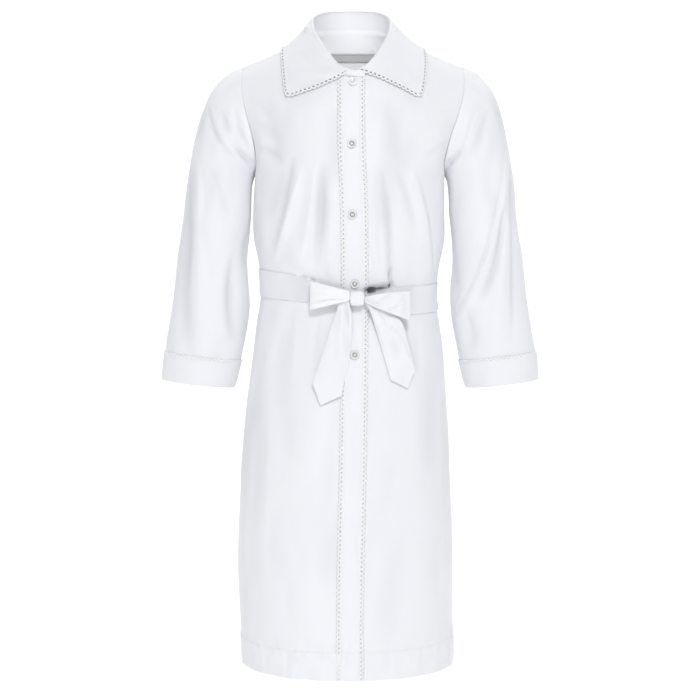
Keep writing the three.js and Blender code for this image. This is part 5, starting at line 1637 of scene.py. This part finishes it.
SLEEVE_CREASES = {
    -1: {
        True: [
            (-279, -192, -289, -530, 1, 12, 0.2, 2, -8),
            (-267, -205, -263, -326, 5, 6.5, 0.2, 2, 5),
            (-263, -321, -265, -530, 5, 8, 0.2, 2, 2.5),
            (-246, -113, -193, -211, -13, 4.5, 0.3, 1.5, -5),
            (-239, -113, -187, -205, -10, 4, 0.3, 1.6, 3),
            (-199, -116, -164, -202, -5, 4, 0.3, 1.5, -4),
            (-223, -120, -209, -168, 1, 6, 0.2, 2, -4),
            (-256, -113, -272, -185, -1, 9, 0.2, 2, -6),
            (-195, -188, -164, -223, 0, 5, 0.2, 1.6, -6),
            (-199, -364, -199, -530, -9, 7, 0.2, 1.9, -7),
            (-178, -330, -181, -399, 0, 5, 0.2, 1.8, -3),
            (-249, -205, -190, -364, 4, 7, 0.2, 2, -2),
        ],
        False: [
            (-240, -130, -178, -226, -8, 7, 0.3, 1.6, -4.8),
            (-262, -210, -276, -560, 3, 11, 0.3, 1.9, -6.4),
            (-236, -250, -238, -520, 2, 12, 0.3, 2, 5.1),
            (-200, -340, -214, -570, 3, 9, 0.3, 1.8, -5.1),
        ],
    },
    1: {
        True: [
            (267, -173, 176, -486, 20, 2.2, 0.1, 1.4, -3),
            (275, -183, 185, -490, 19, 6, 0.1, 1.7, 5.5),
            (263, -286, 221, -457, 12, 6, 0.2, 1.8, -8),
            (274, -192, 279, -530, 6, 5.5, 0.1, 1.8, -6),
            (275, -200, 281, -304, 4, 4.5, 0.1, 1.8, -3), (270, -330, 256, -521, -2, 6, 0.2, 2, 3),
            (223, -106, 195, -200, 0, 6, 0.2, 2, 4), (237, -120, 206, -209, 3, 8, 0.2, 2, -5),
            (242, -99, 272, -174, 4, 7, 0.2, 2, -5), (190, -192, 160, -230, 0, 5, 0.2, 1.6, -6),
            (176, -347, 185, -437, -2, 6, 0.2, 1.8, -3.5),
            (195, -451, 216, -539, 3, 6, 0.2, 1.8, -2.5),
        ],
        False: [
            (240, -130, 178, -226, 8, 7, 0.3, 1.6, -4.8),
            (262, -220, 240, -540, 4, 10, 0.3, 1.8, 5.4),
            (280, -300, 262, -580, 0, 10, 0.3, 1.8, -5.8),
            (206, -320, 216, -560, 0, 10, 0.3, 1.8, -4.8),
        ],
    },
}


# Materials

def new_material(name):
    material = bpy.data.materials.new(name)
    material.use_nodes = True
    tree = material.node_tree
    shader = tree.nodes["Principled BSDF"]
    return material, tree, shader


def node(tree, kind, **settings):
    made = tree.nodes.new(kind)
    for key, value in settings.items():
        if key in made.inputs:
            made.inputs[key].default_value = value
        else:
            setattr(made, key, value)
    return made


class Value:
    """Output of a node, which can be added, multiplied and so on."""

    def __init__(self, tree, socket):
        self.tree = tree
        self.socket = socket

    def math(self, operation, *others):
        made = node(self.tree, "ShaderNodeMath", operation=operation)
        for k, value in enumerate((self, *others)):
            give(self.tree, made.inputs[k], value)
        return Value(self.tree, made.outputs[0])

    def __add__(self, other):
        return self.math("ADD", other)

    def __sub__(self, other):
        return self.math("SUBTRACT", other)

    def __mul__(self, other):
        return self.math("MULTIPLY", other)

    def __truediv__(self, other):
        return self.math("DIVIDE", other)

    def falling(self, slope):
        """1 where the value is 0, falling evenly to 0 and staying there."""
        return self.math("MULTIPLY_ADD", -slope, 1.0).above_zero()

    def above_zero(self):
        return self.math("MAXIMUM", 0.0)

    def below_one(self):
        return self.math("MINIMUM", 1.0)


def give(tree, socket, value):
    """Links a value to a socket, or sets the socket where the value is a constant."""
    if isinstance(value, Value):
        tree.links.new(value.socket, socket)
    else:
        socket.default_value = value


def blend_colour(tree, factor, first, second):
    made = node(tree, "ShaderNodeMix", data_type="RGBA")
    for socket, value in ((0, factor), (6, first), (7, second)):
        give(tree, made.inputs[socket], value)
    return Value(tree, made.outputs[2])


def noise(tree, scale, detail, place):
    made = node(tree, "ShaderNodeTexNoise", Scale=scale, Detail=detail)
    give(tree, made.inputs["Vector"], place)
    return Value(tree, made.outputs["Fac"])


def place_in_object(tree):
    return Value(tree, node(tree, "ShaderNodeTexCoord").outputs["Object"])


def place_on_cloth(tree):
    return Value(tree, node(tree, "ShaderNodeUVMap", uv_map="cloth").outputs[0])


def attribute(tree, name, output="Fac"):
    made = node(tree, "ShaderNodeAttribute", attribute_name=name)
    return Value(tree, made.outputs[output])


def axes(tree, value):
    split = node(tree, "ShaderNodeSeparateXYZ")
    give(tree, split.inputs[0], value)
    return [Value(tree, output) for output in split.outputs[:2]]


def threads(tree, place, scale, distortion):
    made = node(tree, "ShaderNodeTexWave", Scale=scale, Distortion=distortion)
    give(tree, made.inputs["Vector"], place)
    return Value(tree, made.outputs["Fac"])


def weave_height(tree, pitch):
    """Plain weave: threads over and under each other."""
    across, down = axes(tree, place_on_cloth(tree))
    turn = math.pi / pitch
    return (across * turn).math("SINE") * (down * turn).math("SINE")


def stitch_mask(tree, distance, pitch, width):
    """Seam line and its stitches, at a distance from the edge in millimetres."""
    away, run = axes(tree, attribute(tree, "stitch", "Vector"))
    away = (away - distance).math("ABSOLUTE")
    line = away.falling(1 / width)
    dash = ((run / pitch).math("FRACT") - 0.5).math("ABSOLUTE").falling(2.4)
    return line, line * (dash * 3.0).below_one()


def bump(tree, height, strength, distance, below=None):
    made = node(tree, "ShaderNodeBump", Strength=strength, Distance=distance)
    give(tree, made.inputs["Height"], height)
    if below is not None:
        give(tree, made.inputs["Normal"], below)
    return Value(tree, made.outputs[0])


def finish_material(tree, shader, colours, normal, **settings):
    give(tree, shader.inputs["Base Color"], colours)
    give(tree, shader.inputs["Normal"], normal)
    for name, value in settings.items():
        give(tree, shader.inputs[name.replace("_", " ").title()], value)


def cloth_material(name, colour, shade, roughness, sheen=0.25, pitch=0.00042):
    material, tree, shader = new_material(name)
    place = place_in_object(tree)
    slubs = noise(tree, 260.0, 2.0, place)
    tone = noise(tree, 9.0, 3.0, place) * 0.7 + slubs * 0.3
    colours = blend_colour(tree, tone, shade, colour)
    # Painted shade: the colour is darkened in the troughs of the relief kept in the fold
    # attribute, and painted nearly black in deep hollows
    fold = attribute(tree, "fold")
    painted_trough_shade = (fold / -7.0).above_zero().below_one()
    colours = blend_colour(tree, painted_trough_shade * 0.42, colours, (0.55, 0.56, 0.61, 1))
    painted_hollow_shade = ((fold + 9.0) / -4.0).above_zero().below_one()
    colours = blend_colour(tree, painted_hollow_shade * 0.85, colours, (0.10, 0.10, 0.12, 1))
    line, thread = stitch_mask(tree, 2.0, 2.6, 0.45)
    # The stitch line is painted a little darker, as shade in its groove; the stitches are lighter
    # thread
    colours = blend_colour(tree, line * 0.06, colours, (0.62, 0.63, 0.68, 1))
    colours = blend_colour(tree, thread * 0.8, colours, (0.93, 0.93, 0.95, 1))
    weave = bump(tree, weave_height(tree, pitch), 0.25, 0.00012)
    fuzz = bump(tree, slubs, 0.18, 0.0008, weave)
    stitches = bump(tree, thread - line * 0.6, 0.6, 0.0005, fuzz)
    finish_material(
        tree, shader, colours, stitches,
        roughness=slubs * 0.12 + (roughness - 0.06), sheen_weight=sheen, sheen_roughness=0.45,
    )
    shader.inputs["Specular IOR Level"].default_value = 0.45
    return material


def lace_material():
    material, tree, shader = new_material("lace")
    thread = threads(tree, place_on_cloth(tree), 900.0, 3.0)
    white = blend_colour(tree, thread, (0.88, 0.88, 0.90, 1), (0.95, 0.95, 0.96, 1))
    # Painted shade: the lace is darkened at the rims of its holes, read from the open attribute
    rim = attribute(tree, "open").math("POWER", 3.0) * 0.6
    shaded = blend_colour(tree, rim, white, (0.25, 0.25, 0.27, 1))
    relief = bump(tree, thread, 0.3, 0.0002)
    finish_material(tree, shader, shaded, relief, roughness=0.75, sheen_weight=0.2)
    return material


def pearl_material(name, light, shade, dark):
    material, tree, shader = new_material(name)
    place = place_in_object(tree)
    cloud = noise(tree, 420.0, 3.0, place)
    tone = cloud * 0.4 + noise(tree, 130.0, 2.0, place) * 0.6
    pearl = blend_colour(tree, tone, shade, light)
    # Painted shade from the open attribute: the ring and rim turn towards the dark colour
    pearl = blend_colour(tree, attribute(tree, "open") * 0.9, pearl, dark)
    finish_material(
        tree, shader, pearl, bump(tree, cloud, 0.15, 0.0003),
        roughness=0.22, coat_weight=0.6, coat_roughness=0.12,
    )
    return material


def thread_material():
    material, tree, shader = new_material("thread")
    twist = threads(tree, place_in_object(tree), 700.0, 1.0)
    colours = blend_colour(tree, twist, (0.80, 0.80, 0.82, 1), (0.94, 0.94, 0.95, 1))
    finish_material(tree, shader, colours, bump(tree, twist, 0.6, 0.0002), roughness=0.6)
    return material


def floor_material():
    material, tree, shader = new_material("floor")
    grain = noise(tree, 6.0, 4.0, place_in_object(tree))
    colours = blend_colour(tree, grain, grey(0.93), grey(0.95))
    give(tree, shader.inputs["Base Color"], colours)
    shader.inputs["Roughness"].default_value = 0.9
    return material


# Stage, light and camera

CAMERA_DISTANCE = 2.600
CAMERA_HEIGHT = -0.36442
CAMERA_TILT = 3.8726            # degrees that it looks down
CAMERA_LENS = 75.97
FLOOR_HEIGHT = -1.75


def stage():
    """Pale floor that curves up into a wall behind the robe."""
    bend = np.radians(np.arange(10, 91, 10))
    curve = 1.6
    depth = np.concatenate([[-5.0, 2.2], 2.2 + curve * np.sin(bend), [2.2 + curve]])
    rise = np.concatenate([[0, 0], curve * (1 - np.cos(bend)), [5.5]])
    width = 6.0
    verts = []
    for y, z in zip(depth, rise):
        verts += [(-width, y, FLOOR_HEIGHT + z), (width, y, FLOOR_HEIGHT + z)]
    faces = [(2 * k, 2 * k + 1, 2 * k + 3, 2 * k + 2) for k in range(len(depth) - 1)]
    mesh = bpy.data.meshes.new("floor")
    mesh.from_pydata(verts, [], faces)
    mesh.polygons.foreach_set("use_smooth", [True] * len(faces))
    piece = bpy.data.objects.new("floor", mesh)
    bpy.context.scene.collection.objects.link(piece)
    piece.data.materials.append(floor_material())


def area_light(name, place, aim, size, power):
    light = bpy.data.lights.new(name, "AREA")
    light.shape = "RECTANGLE"
    light.size, light.size_y = size
    light.energy = power
    lamp = bpy.data.objects.new(name, light)
    lamp.location = place
    lamp.rotation_euler = (Vector(aim) - Vector(place)).to_track_quat("-Z", "Y").to_euler()
    lamp.visible_camera = False
    bpy.context.scene.collection.objects.link(lamp)


def lights():
    world = bpy.data.worlds.new("studio")
    bpy.context.scene.world = world
    world.use_nodes = True
    background = world.node_tree.nodes["Background"]
    background.inputs["Color"].default_value = (0.97, 0.98, 1.0, 1)
    background.inputs["Strength"].default_value = 0.50
    area_light("key", (0.5, -3.05, 1.6), (0, 0, -0.3), (0.7, 0.7), 44)
    area_light("fill", (-0.5, -3.2, -1.4), (0, 0, -1.0), (1.0, 1.0), 20)
    area_light("side_left", (-2.4, -0.9, -1.2), (0, 0, -1.1), (0.8, 1.0), 3.2)
    area_light("side_right", (2.4, -0.9, -1.2), (0, 0, -1.1), (0.8, 1.0), 3.8)
    area_light("backdrop", (0, 0.9, 1.6), (0, 3.4, -0.6), (5.0, 1.5), 110)
    area_light("neck", (0, -0.05, -0.062), (0, 0.06, -0.015), (0.15, 0.05), 0.060)


def camera():
    data = bpy.data.cameras.new("camera")
    data.sensor_width = 36
    data.lens = CAMERA_LENS
    made = bpy.data.objects.new("camera", data)
    made.location = (0, -CAMERA_DISTANCE, CAMERA_HEIGHT)
    made.rotation_euler = (math.radians(90 - CAMERA_TILT), 0, 0)
    bpy.context.scene.collection.objects.link(made)
    bpy.context.scene.camera = made


# Putting it together

def grey(value):
    return (value, value, value, 1)


def dress(piece, material, node_name=None):
    piece.data.materials.append(material)
    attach(piece, "root")
    if node_name:
        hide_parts(node_name)
    return piece


def node_of(piece):
    return piece.name.removeprefix("fine_")


def build():
    cloth = cloth_material("cloth", (0.885, 0.89, 0.92, 1), (0.845, 0.852, 0.885, 1), 0.46)
    # A lighter copy of the cloth: painted light, used on the left bow loop and the neck facing so
    # that they read brighter
    painted_light_cloth = cloth_material(
        "cloth_with_painted_light", (0.925, 0.93, 0.95, 1), (0.895, 0.90, 0.93, 1), 0.42
    )
    tape = cloth_material("tape", grey(0.56), grey(0.47), 0.7, 0.1, 0.0011)
    lace = lace_material()
    thread = thread_material()
    white_pearl = pearl_material("white_pearl", (0.94, 0.94, 0.93, 1), grey(0.88), grey(0.62))
    grey_pearl = pearl_material("grey_pearl", grey(0.93), grey(0.80), grey(0.20))

    made = {}
    for piece in (
        front_panel(-1), front_panel(1), back_panel(),
        sleeve(-1), sleeve(1), cuff(-1), cuff(1),
        collar_stand(), collar_leaf(), placket(), sash_band(),
        bow_loop(-1), bow_loop(1), bow_tail(-1), bow_tail(1), bow_knot(), neck_facing(),
    ):
        name = node_of(piece)
        # The left bow loop and the neck facing take the lighter copy of the cloth, as painted
        # light
        own = painted_light_cloth if name in ("bow_loop_left", "neck_facing") else cloth
        made[name] = dress(piece, own, name)
    made["neck_tape"] = dress(neck_tape(), tape, "neck_tape")
    for piece in (
        collar_lace(), placket_lace(-1), placket_lace(1), cuff_lace(-1), cuff_lace(1),
    ):
        made[node_of(piece)] = dress(piece, lace, node_of(piece))
    for piece in buttons():
        name = node_of(piece)
        made[name] = piece
        if name.startswith("button_thread"):
            dress(piece, thread)
        else:
            looks = white_pearl if name == "button_1" else grey_pearl
            dress(piece, looks, name)
    made["buttonholes"] = dress(buttonholes(), thread)
    return made


bpy.context.scene.view_settings.view_transform = "Standard"
stage()
lights()
camera()
build()
